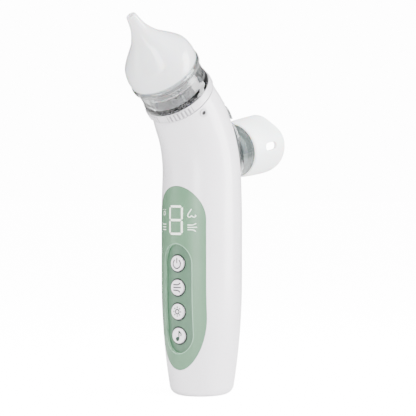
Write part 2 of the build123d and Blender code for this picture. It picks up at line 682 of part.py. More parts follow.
COVER_FOOT = VALVE_FOOT + VALVE_PLATE
BARB_FOOT = COVER_FOOT + 3.0
BARB_LENGTH = 4.0
BARB_RADIUS = HOSE_BORE - 0.02
BARB_BORE = 0.9
with BuildPart() as pump_cover:
    with BuildSketch(PUMP_PROFILE):
        add(ring_profile(
            (BARB_BORE, COVER_FOOT + 1.6), (7.4, COVER_FOOT + 1.6), (7.4, COVER_FOOT),
            (PUMP_RADIUS, COVER_FOOT), (PUMP_RADIUS, BARB_FOOT), (BARB_RADIUS, BARB_FOOT),
            (BARB_RADIUS, BARB_FOOT + BARB_LENGTH), (BARB_BORE, BARB_FOOT + BARB_LENGTH),
        ))
    revolve(axis=PUMP_AXIS)
pump_cover.part.label = "pump_cover"

# ================================================================ suction hose
HEAD_BACK = HEAD.z_dir * -1
BARB_DROP = SOCKET_DISC + BARB_LENGTH
hose_top = HEAD.origin + HEAD_BACK * SOCKET_DISC
hose_foot = Vector(0, MOTOR_Y, BARB_FOOT)
corner_drop = (MOTOR_Y - HEAD.origin.Y) / sin(BEND)
hose_corner = HEAD.origin + HEAD_BACK * corner_drop
hose_run = min((hose_corner - hose_foot).length, (hose_corner - hose_top).length)
with BuildPart() as suction_hose:
    with BuildLine() as hose_path:
        FilletPolyline(
            tuple(hose_foot), tuple(hose_corner), tuple(hose_top),
            radius=0.6 * hose_run / ((1 - cos(BEND)) / sin(BEND)),
        )
    with BuildSketch(Plane.XY.offset(BARB_FOOT)):
        with Locations((0, MOTOR_Y)):
            Circle(HOSE_BORE + HOSE_WALL)
            Circle(HOSE_BORE, mode=Mode.SUBTRACT)
    sweep(path=hose_path.wires()[0])
suction_hose.part.label = "suction_hose"

# ================================================================ head: socket, collar, cup, nozzle
SKIRT_RADIUS = SEAT_RADIUS - PART_GAP / 2
PORT_RADIUS = 3.6
with BuildPart() as cup_socket:
    with BuildSketch(HEAD_PROFILE):
        add(ring_profile(
            (BARB_BORE, 0), (BARB_BORE, -BARB_DROP), (BARB_RADIUS, -BARB_DROP), (BARB_RADIUS, -SOCKET_DISC),
            (SKIRT_RADIUS - 1.6, -SOCKET_DISC), (SKIRT_RADIUS - 1.6, -SKIRT_LENGTH),
            (SKIRT_RADIUS, -SKIRT_LENGTH), (SKIRT_RADIUS, 0), (SPIGOT_RADIUS, 0),
            (SPIGOT_RADIUS, SPIGOT_HEIGHT), (SPIGOT_RADIUS - 1.8, SPIGOT_HEIGHT), (SPIGOT_RADIUS - 1.8, 0),
            (PORT_RADIUS + 1.4, 0), (PORT_RADIUS + 1.4, 3.4), (PORT_RADIUS, 3.4), (PORT_RADIUS, 0),
        ))
    revolve(axis=HEAD_AXIS)
    with BuildSketch(HEAD_PROFILE):
        with Locations((SPIGOT_RADIUS, SPIGOT_HEIGHT / 2)):
            Circle(0.7)
    revolve(axis=HEAD_AXIS, mode=Mode.SUBTRACT)
    with BuildSketch(VENT_PLANE):
        Circle(VENT_BORE)
    extrude(amount=REACH, mode=Mode.SUBTRACT)
cup_socket.part.label = "cup_socket"

with BuildPart() as socket_seal:
    with BuildSketch(HEAD_PROFILE):
        with Locations((SPIGOT_RADIUS - 0.02, SPIGOT_HEIGHT / 2)):
            Circle(0.62)
        with Locations((SPIGOT_RADIUS + 1.04, SPIGOT_HEIGHT / 2)):
            Rectangle(2, 2, mode=Mode.SUBTRACT)
    revolve(axis=HEAD_AXIS)
socket_seal.part.label = "socket_seal"

COLLAR_BORE = SPIGOT_RADIUS + RUNNING_GAP
with BuildPart() as cup_collar:
    with BuildSketch(HEAD_PROFILE):
        add(ring_profile(
            (COLLAR_BORE, COLLAR_START), (COLLAR_RADIUS - 0.5, COLLAR_START),
            (COLLAR_RADIUS, COLLAR_START + 0.5), (COLLAR_RADIUS, COLLAR_TOP - 0.4),
            (COLLAR_RADIUS - 0.4, COLLAR_TOP), (COLLAR_BORE, COLLAR_TOP),
        ))
    revolve(axis=HEAD_AXIS)
cup_collar.part.label = "cup_collar"

SEAL_TOP = COLLAR_TOP + SEAL_THICKNESS
with BuildPart() as cup_seal:
    with BuildSketch(HEAD_PROFILE):
        add(ring_profile(
            (COLLAR_BORE + 0.4, COLLAR_TOP), (CUP_FOOT_RADIUS - 0.35, COLLAR_TOP),
            (CUP_FOOT_RADIUS - 0.35, SEAL_TOP), (COLLAR_BORE + 0.4, SEAL_TOP),
        ))
    revolve(axis=HEAD_AXIS)
cup_seal.part.label = "cup_seal"

CUP_BORE = CUP_RADIUS - CUP_WALL
NIPPLE_RADIUS = PORT_RADIUS - RUNNING_GAP
NIPPLE_BORE = 1.7
FLOOR_TOP = SEAL_TOP + CUP_FLOOR
with BuildPart() as collection_cup:
    with BuildSketch(HEAD_PROFILE):
        with BuildLine():
            Polyline(
                (CUP_RADIUS, CUP_TOP), (CUP_BORE, CUP_TOP), (CUP_BORE, FLOOR_TOP), (NIPPLE_BORE, FLOOR_TOP),
                (NIPPLE_BORE, 1.6), (NIPPLE_RADIUS, 1.6), (NIPPLE_RADIUS, SEAL_TOP),
                (CUP_FOOT_RADIUS, SEAL_TOP), (CUP_FOOT_RADIUS, SEAL_TOP + 1.2),
            )
            Spline(
                (CUP_FOOT_RADIUS, SEAL_TOP + 1.2), (CUP_RADIUS, SEAL_TOP + 4.6),
                tangents=((0, 1), (0, 1)),
            )
            Line((CUP_RADIUS, SEAL_TOP + 4.6), (CUP_RADIUS, CUP_TOP))
        make_face()
    revolve(axis=HEAD_AXIS)
collection_cup.part.label = "collection_cup"

RISER_RADIUS = 3.0
BAFFLE_FOOT = FLOOR_TOP + 6.6
BAFFLE_RADIUS = 8.6
RIB_REACH = CUP_BORE - 0.5
RIB_TURN = 52.0  # degrees of the bright rib from the front, about the head's axis
with BuildPart() as cup_insert:
    with BuildSketch(HEAD_PROFILE):
        add(ring_profile(
            (1.9, FLOOR_TOP), (RISER_RADIUS, FLOOR_TOP), (RISER_RADIUS, BAFFLE_FOOT),
            (BAFFLE_RADIUS, BAFFLE_FOOT - 1.2), (BAFFLE_RADIUS, BAFFLE_FOOT), (RISER_RADIUS, BAFFLE_FOOT + 1.2),
            (1.9, BAFFLE_FOOT + 1.2),
        ))
    revolve(axis=HEAD_AXIS)
    with BuildSketch(HEAD.offset(FLOOR_TOP)):
        with Locations(Location((0, 0), RIB_TURN - 90)):
            with Locations(((RISER_RADIUS - 0.4 + RIB_REACH) / 2, 0)):
                Rectangle(RIB_REACH - RISER_RADIUS + 0.4, 1.0)
    extrude(amount=4.4)
cup_insert.part.label = "cup_insert"

PLUG_RADIUS = CUP_BORE - RUNNING_GAP
with BuildPart() as nozzle_ring:
    with BuildSketch(HEAD_PROFILE):
        with BuildLine():
            Polyline(
                (PLUG_RADIUS - 1.6, RIM_TOP), (PLUG_RADIUS - 1.6, CUP_TOP - 3.6), (PLUG_RADIUS, CUP_TOP - 3.6),
                (PLUG_RADIUS, CUP_TOP), (CUP_RADIUS + 0.2, CUP_TOP), (CUP_RADIUS + 0.6, CUP_TOP + 0.8),
            )
            Spline(
                (CUP_RADIUS + 0.6, CUP_TOP + 0.8), (RIM_RADIUS, CUP_TOP + 2.6),
                tangents=((0.3, 1), (0, 1)),
            )
            Polyline(
                (RIM_RADIUS, CUP_TOP + 2.6), (RIM_RADIUS, RIM_TOP - 0.7), (RIM_RADIUS - 0.35, RIM_TOP - 0.7),
                (RIM_RADIUS - 0.35, RIM_TOP), (PLUG_RADIUS + 1.5, RIM_TOP),
                (PLUG_RADIUS + 1.5, RIM_TOP - 2.4), (PLUG_RADIUS, RIM_TOP - 2.4), (PLUG_RADIUS, RIM_TOP),
                (PLUG_RADIUS - 1.6, RIM_TOP),
            )
        make_face()
    revolve(axis=HEAD_AXIS)
nozzle_ring.part.label = "nozzle_ring"

DOME_RADIUS = RIM_RADIUS - 0.35
DOME_TALL = NOZZLE_TOP - RIM_TOP
NECK_RADIUS = 4.1
NECK_HEIGHT = RIM_TOP + 0.785 * DOME_TALL
BEAD_GAP = 0.06
with BuildPart() as nozzle:
    with BuildSketch(HEAD_PROFILE):
        with BuildLine():
            Line((DOME_RADIUS, RIM_TOP), (DOME_RADIUS + 0.05, RIM_TOP + 2.4))
            Spline(
                (DOME_RADIUS + 0.05, RIM_TOP + 2.4),
                (0.925 * DOME_RADIUS, RIM_TOP + 0.265 * DOME_TALL),
                (0.82 * DOME_RADIUS, RIM_TOP + 0.34 * DOME_TALL),
                (0.565 * DOME_RADIUS, RIM_TOP + 0.49 * DOME_TALL),
                (0.352 * DOME_RADIUS, RIM_TOP + 0.64 * DOME_TALL),
                (NECK_RADIUS, NECK_HEIGHT),
                (TIP_RADIUS, NOZZLE_TOP - 0.9),
                tangents=((0, 1), (-0.05, 1)),
            )
            TangentArc((TIP_RADIUS, NOZZLE_TOP - 0.9), (TIP_RADIUS - 0.55, NOZZLE_TOP), tangent=(0, 1))
            Polyline(
                (TIP_RADIUS - 0.55, NOZZLE_TOP), (TIP_BORE, NOZZLE_TOP), (TIP_BORE, STEP_HEIGHT + 1.0),
                (NECK_RADIUS + 0.5, STEP_HEIGHT),
            )
            Spline(
                (NECK_RADIUS + 0.5, STEP_HEIGHT),
                (0.565 * DOME_RADIUS - NOZZLE_WALL * 0.9, RIM_TOP + 0.465 * DOME_TALL),
                (0.82 * DOME_RADIUS - NOZZLE_WALL, RIM_TOP + 0.315 * DOME_TALL),
                (0.925 * DOME_RADIUS - NOZZLE_WALL, RIM_TOP + 0.24 * DOME_TALL),
                (DOME_RADIUS - NOZZLE_WALL, RIM_TOP + 2.2),
                tangents=((0.45, -1), (0, -1)),
            )
            Polyline(
                (DOME_RADIUS - NOZZLE_WALL, RIM_TOP + 2.2), (PLUG_RADIUS - 0.6, RIM_TOP + 1.2),
                (PLUG_RADIUS - 0.6, RIM_TOP), (PLUG_RADIUS + BEAD_GAP, RIM_TOP),
                (PLUG_RADIUS + BEAD_GAP, RIM_TOP - 2.3), (PLUG_RADIUS + 1.5 - BEAD_GAP, RIM_TOP - 2.3),
                (PLUG_RADIUS + 1.5 - BEAD_GAP, RIM_TOP), (DOME_RADIUS, RIM_TOP),
            )
        make_face()
    revolve(axis=HEAD_AXIS)
nozzle.part.label = "nozzle"

VENT_SURFACE = half_depth(NECK_LENGTH - VENT_BEFORE_MOUTH)
with BuildPart() as vent_bush:
    with BuildSketch(VENT_PLANE.offset(SEAT_RADIUS + PART_GAP)):
        Circle(VENT_RADIUS - SEAM_GAP)
        Circle(VENT_BORE, mode=Mode.SUBTRACT)
    extrude(amount=VENT_SURFACE + 0.05 - SEAT_RADIUS - PART_GAP)
vent_bush.part.label = "vent_bush"

# ================================================================ nebuliser
TANK_OUTER = body_form(-TANK_PROUD)
TANK_INNER = body_form(-TANK_PROUD + TANK_WALL)
LID_INNER = body_form(-0.3)
LID_OUTER = body_form(-0.3 - LID_THICKNESS)


def above_split(height):
    """Half space above a height in the nebuliser's own frame."""
    with BuildPart() as space:
        with BuildSketch(NEB.offset(-REACH / 2)):
            with Locations((0, height + REACH)):
                Rectangle(2 * REACH, 2 * REACH)
        extrude(amount=REACH)
    return space.part


TANK_BACK = PART_GAP - DOCK_DEPTH
TANK_LOW_PART = tank_prism(0.0, TANK_BACK, REACH) & TANK_OUTER
TANK_HIGH_PART = tank_prism(0.0, TANK_BACK, REACH, high=LID_ABOVE) & body_form(-0.15)
CHAMBER_LOW = tank_prism(-TANK_WALL, TANK_BACK + TANK_WALL, REACH) & TANK_INNER
CHAMBER_HIGH = tank_prism(-TANK_WALL, TANK_BACK + TANK_WALL, REACH, high=LID_ABOVE) & body_form(TANK_WALL)
OUTLET_RADIUS = 8.2
FILL_RADIUS = 3.0
LID_GAP = 0.4
LID_FOOT = TANK_ABOVE + LID_GAP
FILL_HEIGHT = LID_FOOT + FILL_RADIUS + 0.8

# The lid's hinge lies across the top of the tank, just outside the neck's surface.
HINGE_RADIUS = 1.2
HINGE_PIN = 0.6
HINGE_BORE = HINGE_PIN + 0.05
HINGE_DROP = 1.6  # from the tank's upper end
KNUCKLE = 8.0
EAR = 2.2
SIDE_GAP = 0.15
hinge_turn = radians(NEB_ANGLE) + (LID_ABOVE - HINGE_DROP) / (BEND_RADIUS + half_depth(NEB_TRAVEL))
HINGE_TRAVEL = BEND_START + BEND_RADIUS * hinge_turn
HINGE_PLANE = centre_plane(HINGE_TRAVEL)
HINGE = HINGE_PLANE.origin + HINGE_PLANE.y_dir * (half_depth(HINGE_TRAVEL) + HINGE_RADIUS + 0.35)
HINGE_SIDE = Plane(origin=HINGE, x_dir=HINGE_PLANE.y_dir, z_dir=(1, 0, 0))


def hinge_bar(radius, start, stop, drop=0.0):
    """Round bar along the hinge from start to stop, with a web that drops towards the neck."""
    with BuildPart() as bar:
        with BuildSketch(HINGE_SIDE.offset(start)):
            Circle(radius)
            if drop:
                with Locations((-drop / 2, 0)):
                    Rectangle(drop, 2 * radius)
        extrude(amount=stop - start)
    return bar.part


EAR_STARTS = (KNUCKLE / 2 + SIDE_GAP, -KNUCKLE / 2 - SIDE_GAP - EAR)
EARS = [hinge_bar(HINGE_RADIUS, start, start + EAR, 2.6) for start in EAR_STARTS]
EAR_NOTCHES = [
    hinge_bar(HINGE_RADIUS + 0.3, start - SIDE_GAP, start + EAR + SIDE_GAP, 6) for start in EAR_STARTS
]
HINGE_HOLE = hinge_bar(HINGE_PIN, -REACH, REACH)
with BuildPart() as medicine_cup:
    add(TANK_LOW_PART)
    add(TANK_HIGH_PART)
    add(CHAMBER_LOW, mode=Mode.SUBTRACT)
    add(CHAMBER_HIGH, mode=Mode.SUBTRACT)
    with BuildSketch(NEB):
        Circle(OUTLET_RADIUS)
    extrude(amount=REACH, mode=Mode.SUBTRACT)
    with BuildSketch(NEB.offset(-6)):
        with Locations((0, FILL_HEIGHT)):
            Circle(FILL_RADIUS)
    extrude(amount=REACH, mode=Mode.SUBTRACT)
    add(EARS)
    add(HINGE_HOLE, mode=Mode.SUBTRACT)
medicine_cup.part.label = "medicine_cup"

with BuildPart() as lid_pin:
    add(hinge_bar(HINGE_PIN, -KNUCKLE / 2 - SIDE_GAP - EAR, KNUCKLE / 2 + SIDE_GAP + EAR))
lid_pin.part.label = "lid_pin"

# The lid stops at its hinge, so no tail turns into the tank as it opens.
with BuildPart() as lid_tail:
    with BuildSketch(HINGE_SIDE.offset(-REACH / 2)):
        with Locations((0, REACH / 2)):
            Rectangle(REACH, REACH)
    extrude(amount=REACH)
with BuildPart() as medicine_lid:
    add(tank_prism(0.0, -REACH / 3, REACH, high=LID_ABOVE) & above_split(LID_FOOT) & LID_OUTER)
    add(LID_INNER, mode=Mode.SUBTRACT)
    add(lid_tail.part, mode=Mode.SUBTRACT)
    add(hinge_bar(HINGE_RADIUS, -KNUCKLE / 2, KNUCKLE / 2))
    add(EAR_NOTCHES, mode=Mode.SUBTRACT)
    add(hinge_bar(HINGE_BORE, -REACH, REACH), mode=Mode.SUBTRACT)
medicine_lid.part.label = "medicine_lid"

with BuildPart() as outlet_plate:
    with BuildSketch(NEB.offset(-REACH / 4)):
        Circle(PLATE_RADIUS)
        Circle(OUTLET_RADIUS + 1.6, mode=Mode.SUBTRACT)
    extrude(amount=REACH / 4 + PLATE_TOP)
    add(body_form(-TANK_PROUD - PART_GAP / 2), mode=Mode.SUBTRACT)
outlet_plate.part.label = "outlet_plate"

with BuildPart() as atomizer_seal:
    with BuildSketch(NEB.offset(PLATE_TOP - 2.6)):
        Circle(OUTLET_RADIUS - PART_GAP)
        Circle(OUTLET_RADIUS - 1.6, mode=Mode.SUBTRACT)
    extrude(amount=1.0)
atomizer_seal.part.label = "atomizer_seal"

with BuildPart() as atomizer_disc:
    with BuildSketch(NEB.offset(PLATE_TOP - 1.6)):
        Circle(OUTLET_RADIUS - PART_GAP)
        Circle(1.6, mode=Mode.SUBTRACT)
    extrude(amount=0.8)
    with BuildSketch(NEB.offset(PLATE_TOP - 1.6)):
        Circle(2.0)
    extrude(amount=0.2)
atomizer_disc.part.label = "atomizer_disc"

with BuildPart() as mask_connector:
    with BuildSketch(NEB_PROFILE):
        add(ring_profile(
            (SNOUT_RADIUS - SNOUT_WALL, PLATE_TOP + 0.05), (RING_RADIUS - 0.5, PLATE_TOP + 0.05),
            (RING_RADIUS, PLATE_TOP + 0.55), (RING_RADIUS, RING_TOP - 0.5), (RING_RADIUS - 0.5, RING_TOP),
            (SNOUT_RADIUS, RING_TOP), (SNOUT_RADIUS, SNOUT_TOP), (SNOUT_RADIUS - SNOUT_WALL, SNOUT_TOP),
        ))
    revolve(axis=NEB_AXIS)
mask_connector.part.label = "mask_connector"

MASK_FOOT = RING_TOP + 0.1
MASK_BORE = SNOUT_RADIUS + RUNNING_GAP
MASK_BEND = MASK_FOOT + 2.2
RIM_ROLL = 2.4
with BuildPart() as mask:
    with BuildSketch(NEB_PROFILE):
        with BuildLine():
            Line((MASK_BORE, MASK_FOOT), (MASK_BASE_RADIUS - 1.4, MASK_FOOT))
            Spline(
                (MASK_BASE_RADIUS - 1.4, MASK_FOOT), (MASK_BASE_RADIUS, MASK_FOOT + 1.5),
                (MASK_RIM_RADIUS, MASK_TOP - 5.0), (MASK_RIM_RADIUS - 0.6, MASK_TOP - 1.2),
                (MASK_RIM_RADIUS - RIM_ROLL, MASK_TOP),
                tangents=((1, 0.2), (-1, 0.25)),
            )
            Line((MASK_RIM_RADIUS - RIM_ROLL, MASK_TOP), (MASK_RIM_RADIUS - RIM_ROLL - 1.2, MASK_TOP - 0.6))
            Line(
                (MASK_RIM_RADIUS - RIM_ROLL - 1.2, MASK_TOP - 0.6),
                (MASK_RIM_RADIUS - MASK_WALL - 0.6, MASK_TOP - MASK_WALL - 0.8),
            )
            Spline(
                (MASK_RIM_RADIUS - MASK_WALL - 0.6, MASK_TOP - MASK_WALL - 0.8),
                (MASK_RIM_RADIUS - MASK_WALL, MASK_TOP - 5.0), (MASK_BASE_RADIUS - MASK_WALL, MASK_BEND + 1.5),
                (MASK_BASE_RADIUS - MASK_WALL - 1.0, MASK_BEND),
            )
            Line((MASK_BASE_RADIUS - MASK_WALL - 1.0, MASK_BEND), (MASK_BORE, MASK_BEND))
            Line((MASK_BORE, MASK_BEND), (MASK_BORE, MASK_FOOT))
        make_face()
    revolve(axis=NEB_AXIS)
    with BuildSketch(Plane(origin=NEB_ORIGIN - Vector(REACH, 0, 0), x_dir=NEB_DIRECTION, z_dir=(1, 0, 0))):
        with Locations((MASK_VENT_AT, 0)):
            SlotOverall(MASK_VENT_LENGTH, MASK_VENT_HEIGHT)
    extrude(amount=2 * REACH, mode=Mode.SUBTRACT)
mask.part.label = "mask"

with BuildPart() as contact_pins:
    with BuildSketch(NEB.offset(-DOCK_DEPTH - DOCK_WALL - 1.2)):
        with Locations(*PIN_SPOTS):
            Circle(PIN_RADIUS)
    extrude(amount=DOCK_WALL + 1.2 + PART_GAP / 2)
contact_pins.part.label = "contact_pins"

# ================================================================ write the pieces
PIECES = [
    housing.part, rear_cover.part, control_panel.part, display_light_guide.part, display_module.part,
    *buttons, keypad_mat.part, tact_switches.part, main_board.part, board_chips.part, board_screws.part,
    inner_chassis.part, battery_cell.part, charge_board.part, usb_socket.part, speaker.part,
    pump_motor.part, motor_damper.part, pump_eccentric.part, pump_housing.part, pump_rocker.part,
    pump_diaphragm.part, pump_valve_plate.part, pump_cover.part, suction_hose.part, cup_socket.part,
    socket_seal.part, cup_collar.part, cup_seal.part, collection_cup.part, cup_insert.part,
    nozzle_ring.part, nozzle.part, vent_bush.part, medicine_cup.part, medicine_lid.part,
    lid_pin.part, outlet_plate.part, atomizer_seal.part, atomizer_disc.part, mask_connector.part, mask.part,
    contact_pins.part,
]
os.makedirs("parts", exist_ok=True)
for piece in PIECES:
    export_step(piece, f"parts/{piece.label}.step")
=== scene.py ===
"""Looks for a nasal aspirator with a clip-on nebuliser: finishes, soft parts, icons and a small studio."""

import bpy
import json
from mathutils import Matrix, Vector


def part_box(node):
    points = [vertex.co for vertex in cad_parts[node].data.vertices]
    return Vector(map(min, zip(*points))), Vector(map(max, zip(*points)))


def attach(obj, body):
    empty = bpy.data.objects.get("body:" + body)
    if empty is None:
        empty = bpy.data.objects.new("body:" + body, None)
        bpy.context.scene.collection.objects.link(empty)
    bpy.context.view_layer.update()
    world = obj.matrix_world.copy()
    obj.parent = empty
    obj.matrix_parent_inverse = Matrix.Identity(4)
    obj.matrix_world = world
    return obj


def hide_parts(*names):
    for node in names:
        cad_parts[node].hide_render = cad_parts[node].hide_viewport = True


bl_info = {
    "name": "Nasal aspirator looks",
    "version": (1, 0, 0),
    "blender": (4, 5, 0),
    "location": "3D View > Sidebar > Aspirator",
    "description": "Finishes, soft parts, icons and studio for the nasal aspirator",
    "category": "Object",
}

import json
import math

import bmesh
import bpy
from bpy.props import FloatProperty, IntProperty, PointerProperty, StringProperty
from mathutils import Matrix, Vector
from mathutils.bvhtree import BVHTree

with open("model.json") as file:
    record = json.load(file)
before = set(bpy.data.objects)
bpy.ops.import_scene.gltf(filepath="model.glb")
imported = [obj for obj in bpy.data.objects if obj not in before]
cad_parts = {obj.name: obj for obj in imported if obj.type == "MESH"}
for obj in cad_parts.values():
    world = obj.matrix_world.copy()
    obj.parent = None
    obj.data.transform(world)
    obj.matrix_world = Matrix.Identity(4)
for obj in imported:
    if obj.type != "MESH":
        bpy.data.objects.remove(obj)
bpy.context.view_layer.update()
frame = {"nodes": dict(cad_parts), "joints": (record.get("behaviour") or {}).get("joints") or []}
NODES = frame["nodes"]
JOINTS = {joint["name"]: joint for joint in frame["joints"]}
MM = 0.001
TURNED_STEPS = 160  # round a turned piece
HEAD_CENTRE = Vector(JOINTS["collar_turn"]["pos_m"])
HEAD_AXIS = Vector(JOINTS["collar_turn"]["axis"]).normalized()
NEB_CENTRE = Vector(JOINTS["connector_turn"]["pos_m"])
NEB_AXIS = Vector(JOINTS["connector_turn"]["axis"]).normalized()

# Vent bush beside the head, in mm.
VENT_TURN = math.radians(23)  # from +X towards the front
# The dark disc in the bush's bore is painted shade.
VENT_SHADE_RADIUS = 1.1
VENT_SHADE_THICKNESS = 0.3
VENT_SHADE_OUT = 0.45  # out from the middle of the bush

# Sunk oval round the buttons, in the panel's own x and z, in mm.
WELL_HALF_WIDTH = 8.8
WELL_LOW = 33.0  # where its straight sides start
WELL_HIGH = 68.0  # and where they end
WELL_RISE = 10.5  # height of its round ends

# Button caps and the near-black rings round them, painted shade in the gaps, in mm.
CAP_EDGE = 4.6  # outside the cap, inside its flange's edge
SHADE_RING_BORE = 4.06
SHADE_RING_SLEEVE = 4.4  # the sleeve in the gap
SHADE_RING_LIP = 4.78  # the lip on the well's floor
SHADE_RING_SEAT = 4.75  # where the floor's height is taken
SHADE_RING_TOP_OUTER = 4.64
SHADE_RING_TOP_INNER = 4.16
SHADE_RING_ROUND = 0.12  # drop at its rounded edges
SHADE_RING_SUNK = 0.03  # how far the lip reaches under the floor's face
SHADE_RING_STEPS = 64

# Longest piece of a printed line before it is laid on the surface again, in mm.
STROKE_STEP = 0.35

# Head, along its own axis from the mouth, in mm.
COLLAR_LOW = 0.35
COLLAR_HIGH = 4.7
COLLAR_RADIUS = 18.35
RIM_LINES = ((18.83, 18.7), (18.8, 17.9), (18.62, 16.9))
RIM_LINE_THICK = 0.1

# Camera, as shares of the picture's width.
CAMERA_SHIFT_ACROSS = 0.0149
CAMERA_SHIFT_UP = -0.0625

# Nebuliser, along its own axis from the neck, in mm.
CONNECTOR_LINES = ((14.22, 5.3), (14.22, 6.7), (14.22, 7.8))
CONNECTOR_LINE_THICK = 0.09
MASK_VENT_AT = 21.3
MASK_VENT_HALF_SPAN = 2.5  # from its middle to the centres of its round ends
MASK_VENT_RADIUS = 2.1
VENT_CUT_FROM = 10  # the vents are cut between these distances from the axis
VENT_CUT_TO = 20
PULL_START = 12.0  # the mask's sides pull in from here
PULL_LENGTH = 19.0  # and reach their full pull after this length
PULL_SHARE = 0.13
PULL_ANGLE = 52.0  # degrees from the side to the strongest pull
PULL_SPREAD = 30.0


# ------------------------------------------------------------------ settings
def tone_setting(name, what, default):
    """Property that holds an sRGB colour as hex."""
    return StringProperty(name=name, description=f"sRGB colour of {what}", default=default)


def length_setting(name, description, millimetres):
    """Property that holds a small length."""
    return FloatProperty(
        name=name, description=description, default=millimetres * MM, unit="LENGTH", precision=5
    )


def angle_setting(name, description, degrees):
    """Property that holds an angle."""
    return FloatProperty(
        name=name, description=description, default=math.radians(degrees), subtype="ANGLE"
    )


class ShellSettings(bpy.types.PropertyGroup):
    """Grip and neck."""

    colour: tone_setting("Shell", "the moulded shell", "#E6E3E8")
    shade: tone_setting("Shell shade", "its second tone", "#DEDADF")
    roughness: FloatProperty(
        name="Roughness", description="Satin gloss of the shell", default=0.3, min=0, max=1
    )


class PanelSettings(bpy.types.PropertyGroup):
    """Control panel, digit and icons."""

    colour: tone_setting("Panel", "the panel", "#50755A")
    shade: tone_setting("Panel shade", "its second tone", "#496D52")
    # Painted shade on the well's floor and a painted highlight on its edge.
    well: tone_setting("Well", "the well's floor", "#3F604A")
    edge: tone_setting("Well edge", "the well's edge", "#7FA38A")
    lit: tone_setting("Digit", "the lit digit", "#E9EEE4")
    printed: tone_setting("Icons", "the printed icons", "#DDE6DA")
    stroke: length_setting("Icon stroke", "Width of the icons' lines", 0.46)


class ButtonSettings(bpy.types.PropertyGroup):
    """The four round buttons."""

    colour: tone_setting("Button", "the button caps", "#E2DDE2")
    mark: tone_setting("Marks", "the printed marks", "#3C363E")
    note_mark: tone_setting("Note mark", "the note", "#0E2E1E")
    stroke: length_setting("Mark stroke", "Width of the marks' lines", 0.7)


class HeadSettings(bpy.types.PropertyGroup):
    """Collar, cup and nozzle."""

    rib_count: IntProperty(
        name="Rib places", description="Places for ribs round the collar", default=56, min=12
    )
    rib_from: angle_setting("Ribs from", "Angle from front or back where a group starts", 11)
    rib_to: angle_setting("Ribs to", "Angle from front or back where it ends", 54)
    rib_width: length_setting("Rib width", "Width of one rib", 1.15)
    rib_height: length_setting("Rib height", "Length along the axis", 3.6)
    rib_proud: length_setting("Rib depth", "How far ribs stand proud", 0.42)
    silicone: tone_setting("Nozzle", "the nozzle", "#F0EEF0")
    clear: tone_setting("Cup", "the clear cup", "#F2F5F5")


class NebuliserSettings(bpy.types.PropertyGroup):
    """Tank, connector and mask."""

    tank: tone_setting("Tank", "the clear tank", "#D5DADB")
    # Dark grey tint of painted shade for the clear connector.
    ring: tone_setting("Ring", "the connector ring and the outlet plate", "#717C7B")
    mask: tone_setting("Mask", "the mask", "#FBFAFB")


class StageSettings(bpy.types.PropertyGroup):
    """Floor, lights and camera."""

    floor: tone_setting("Floor", "the floor", "#F6F6F6")
    distance: FloatProperty(
        name="Camera distance", description="From the grip's axis", default=0.8, unit="LENGTH"
    )
    azimuth: angle_setting("Camera azimuth", "Turn from straight ahead", 38)
    height: FloatProperty(name="Camera height", description="Above the floor", default=0.11, unit="LENGTH")
    lens: FloatProperty(name="Lens", description="Focal length on a 36 mm sensor, in mm", default=133.1)
    key: FloatProperty(name="Key light", description="Power of the main soft box, in W", default=8.5)
    world: FloatProperty(
        name="Room light", description="Strength of the even light all round", default=0.45
    )
    backdrop: FloatProperty(
        name="Backdrop", description="Brightness of what lies behind", default=14.0
    )


# ------------------------------------------------------------------ nodes and materials
def linear(hex_colour):
    """sRGB hex to linear RGBA."""
    values = [int(hex_colour[i:i + 2], 16) / 255 for i in (1, 3, 5)]
    return [v / 12.92 if v <= 0.04045 else ((v + 0.055) / 1.055) ** 2.4 for v in values] + [1.0]


def add_node(tree, kind, inputs=None, **settings):
    """Adds a node, sets its attributes, and sets or links its inputs by name or index."""
    node = tree.nodes.new(kind)
    for name, value in settings.items():
        setattr(node, name, value)
    for name, value in (inputs or {}).items():
        if isinstance(value, bpy.types.NodeSocket):
            tree.links.new(value, node.inputs[name])
        else:
            node.inputs[name].default_value = value
    return node


def surface(name, colours, grain_mm, bump, roughness, spread=0.06, patch_mm=14.0, **shader):
    """Material whose tone drifts slowly over patch_mm and whose gloss and relief vary at grain_mm."""
    material = bpy.data.materials.new(name)
    material.use_nodes = True
    tree = material.node_tree
    tree.nodes.clear()
    place = add_node(tree, "ShaderNodeTexCoord")
    patch = add_node(
        tree, "ShaderNodeTexNoise",
        {"Vector": place.outputs["Object"], "Scale": 1000 / patch_mm, "Detail": 2.0},
    )
    grain = add_node(
        tree, "ShaderNodeTexNoise",
        {"Vector": place.outputs["Object"], "Scale": 1000 / grain_mm, "Detail": 3.0},
    )
    tone = add_node(
        tree, "ShaderNodeMix", {0: patch.outputs["Fac"], 6: linear(colours[0]), 7: linear(colours[1])},
        data_type="RGBA",
    )
    gloss = add_node(
        tree, "ShaderNodeMapRange",
        {"Value": grain.outputs["Fac"], "From Min": 0.3, "From Max": 0.7,
         "To Min": max(0.0, roughness - spread), "To Max": roughness + spread},
    )
    relief = add_node(
        tree, "ShaderNodeBump",
        {"Height": grain.outputs["Fac"], "Strength": bump, "Distance": grain_mm * MM * 0.2},
    )
    shading = add_node(
        tree, "ShaderNodeBsdfPrincipled",
        {"Base Color": tone.outputs[2], "Roughness": gloss.outputs["Result"],
         "Normal": relief.outputs["Normal"]},
    )
    for socket, value in shader.items():
        shading.inputs[socket.replace("_", " ")].default_value = value
    add_node(tree, "ShaderNodeOutputMaterial", {"Surface": shading.outputs["BSDF"]})
    return material


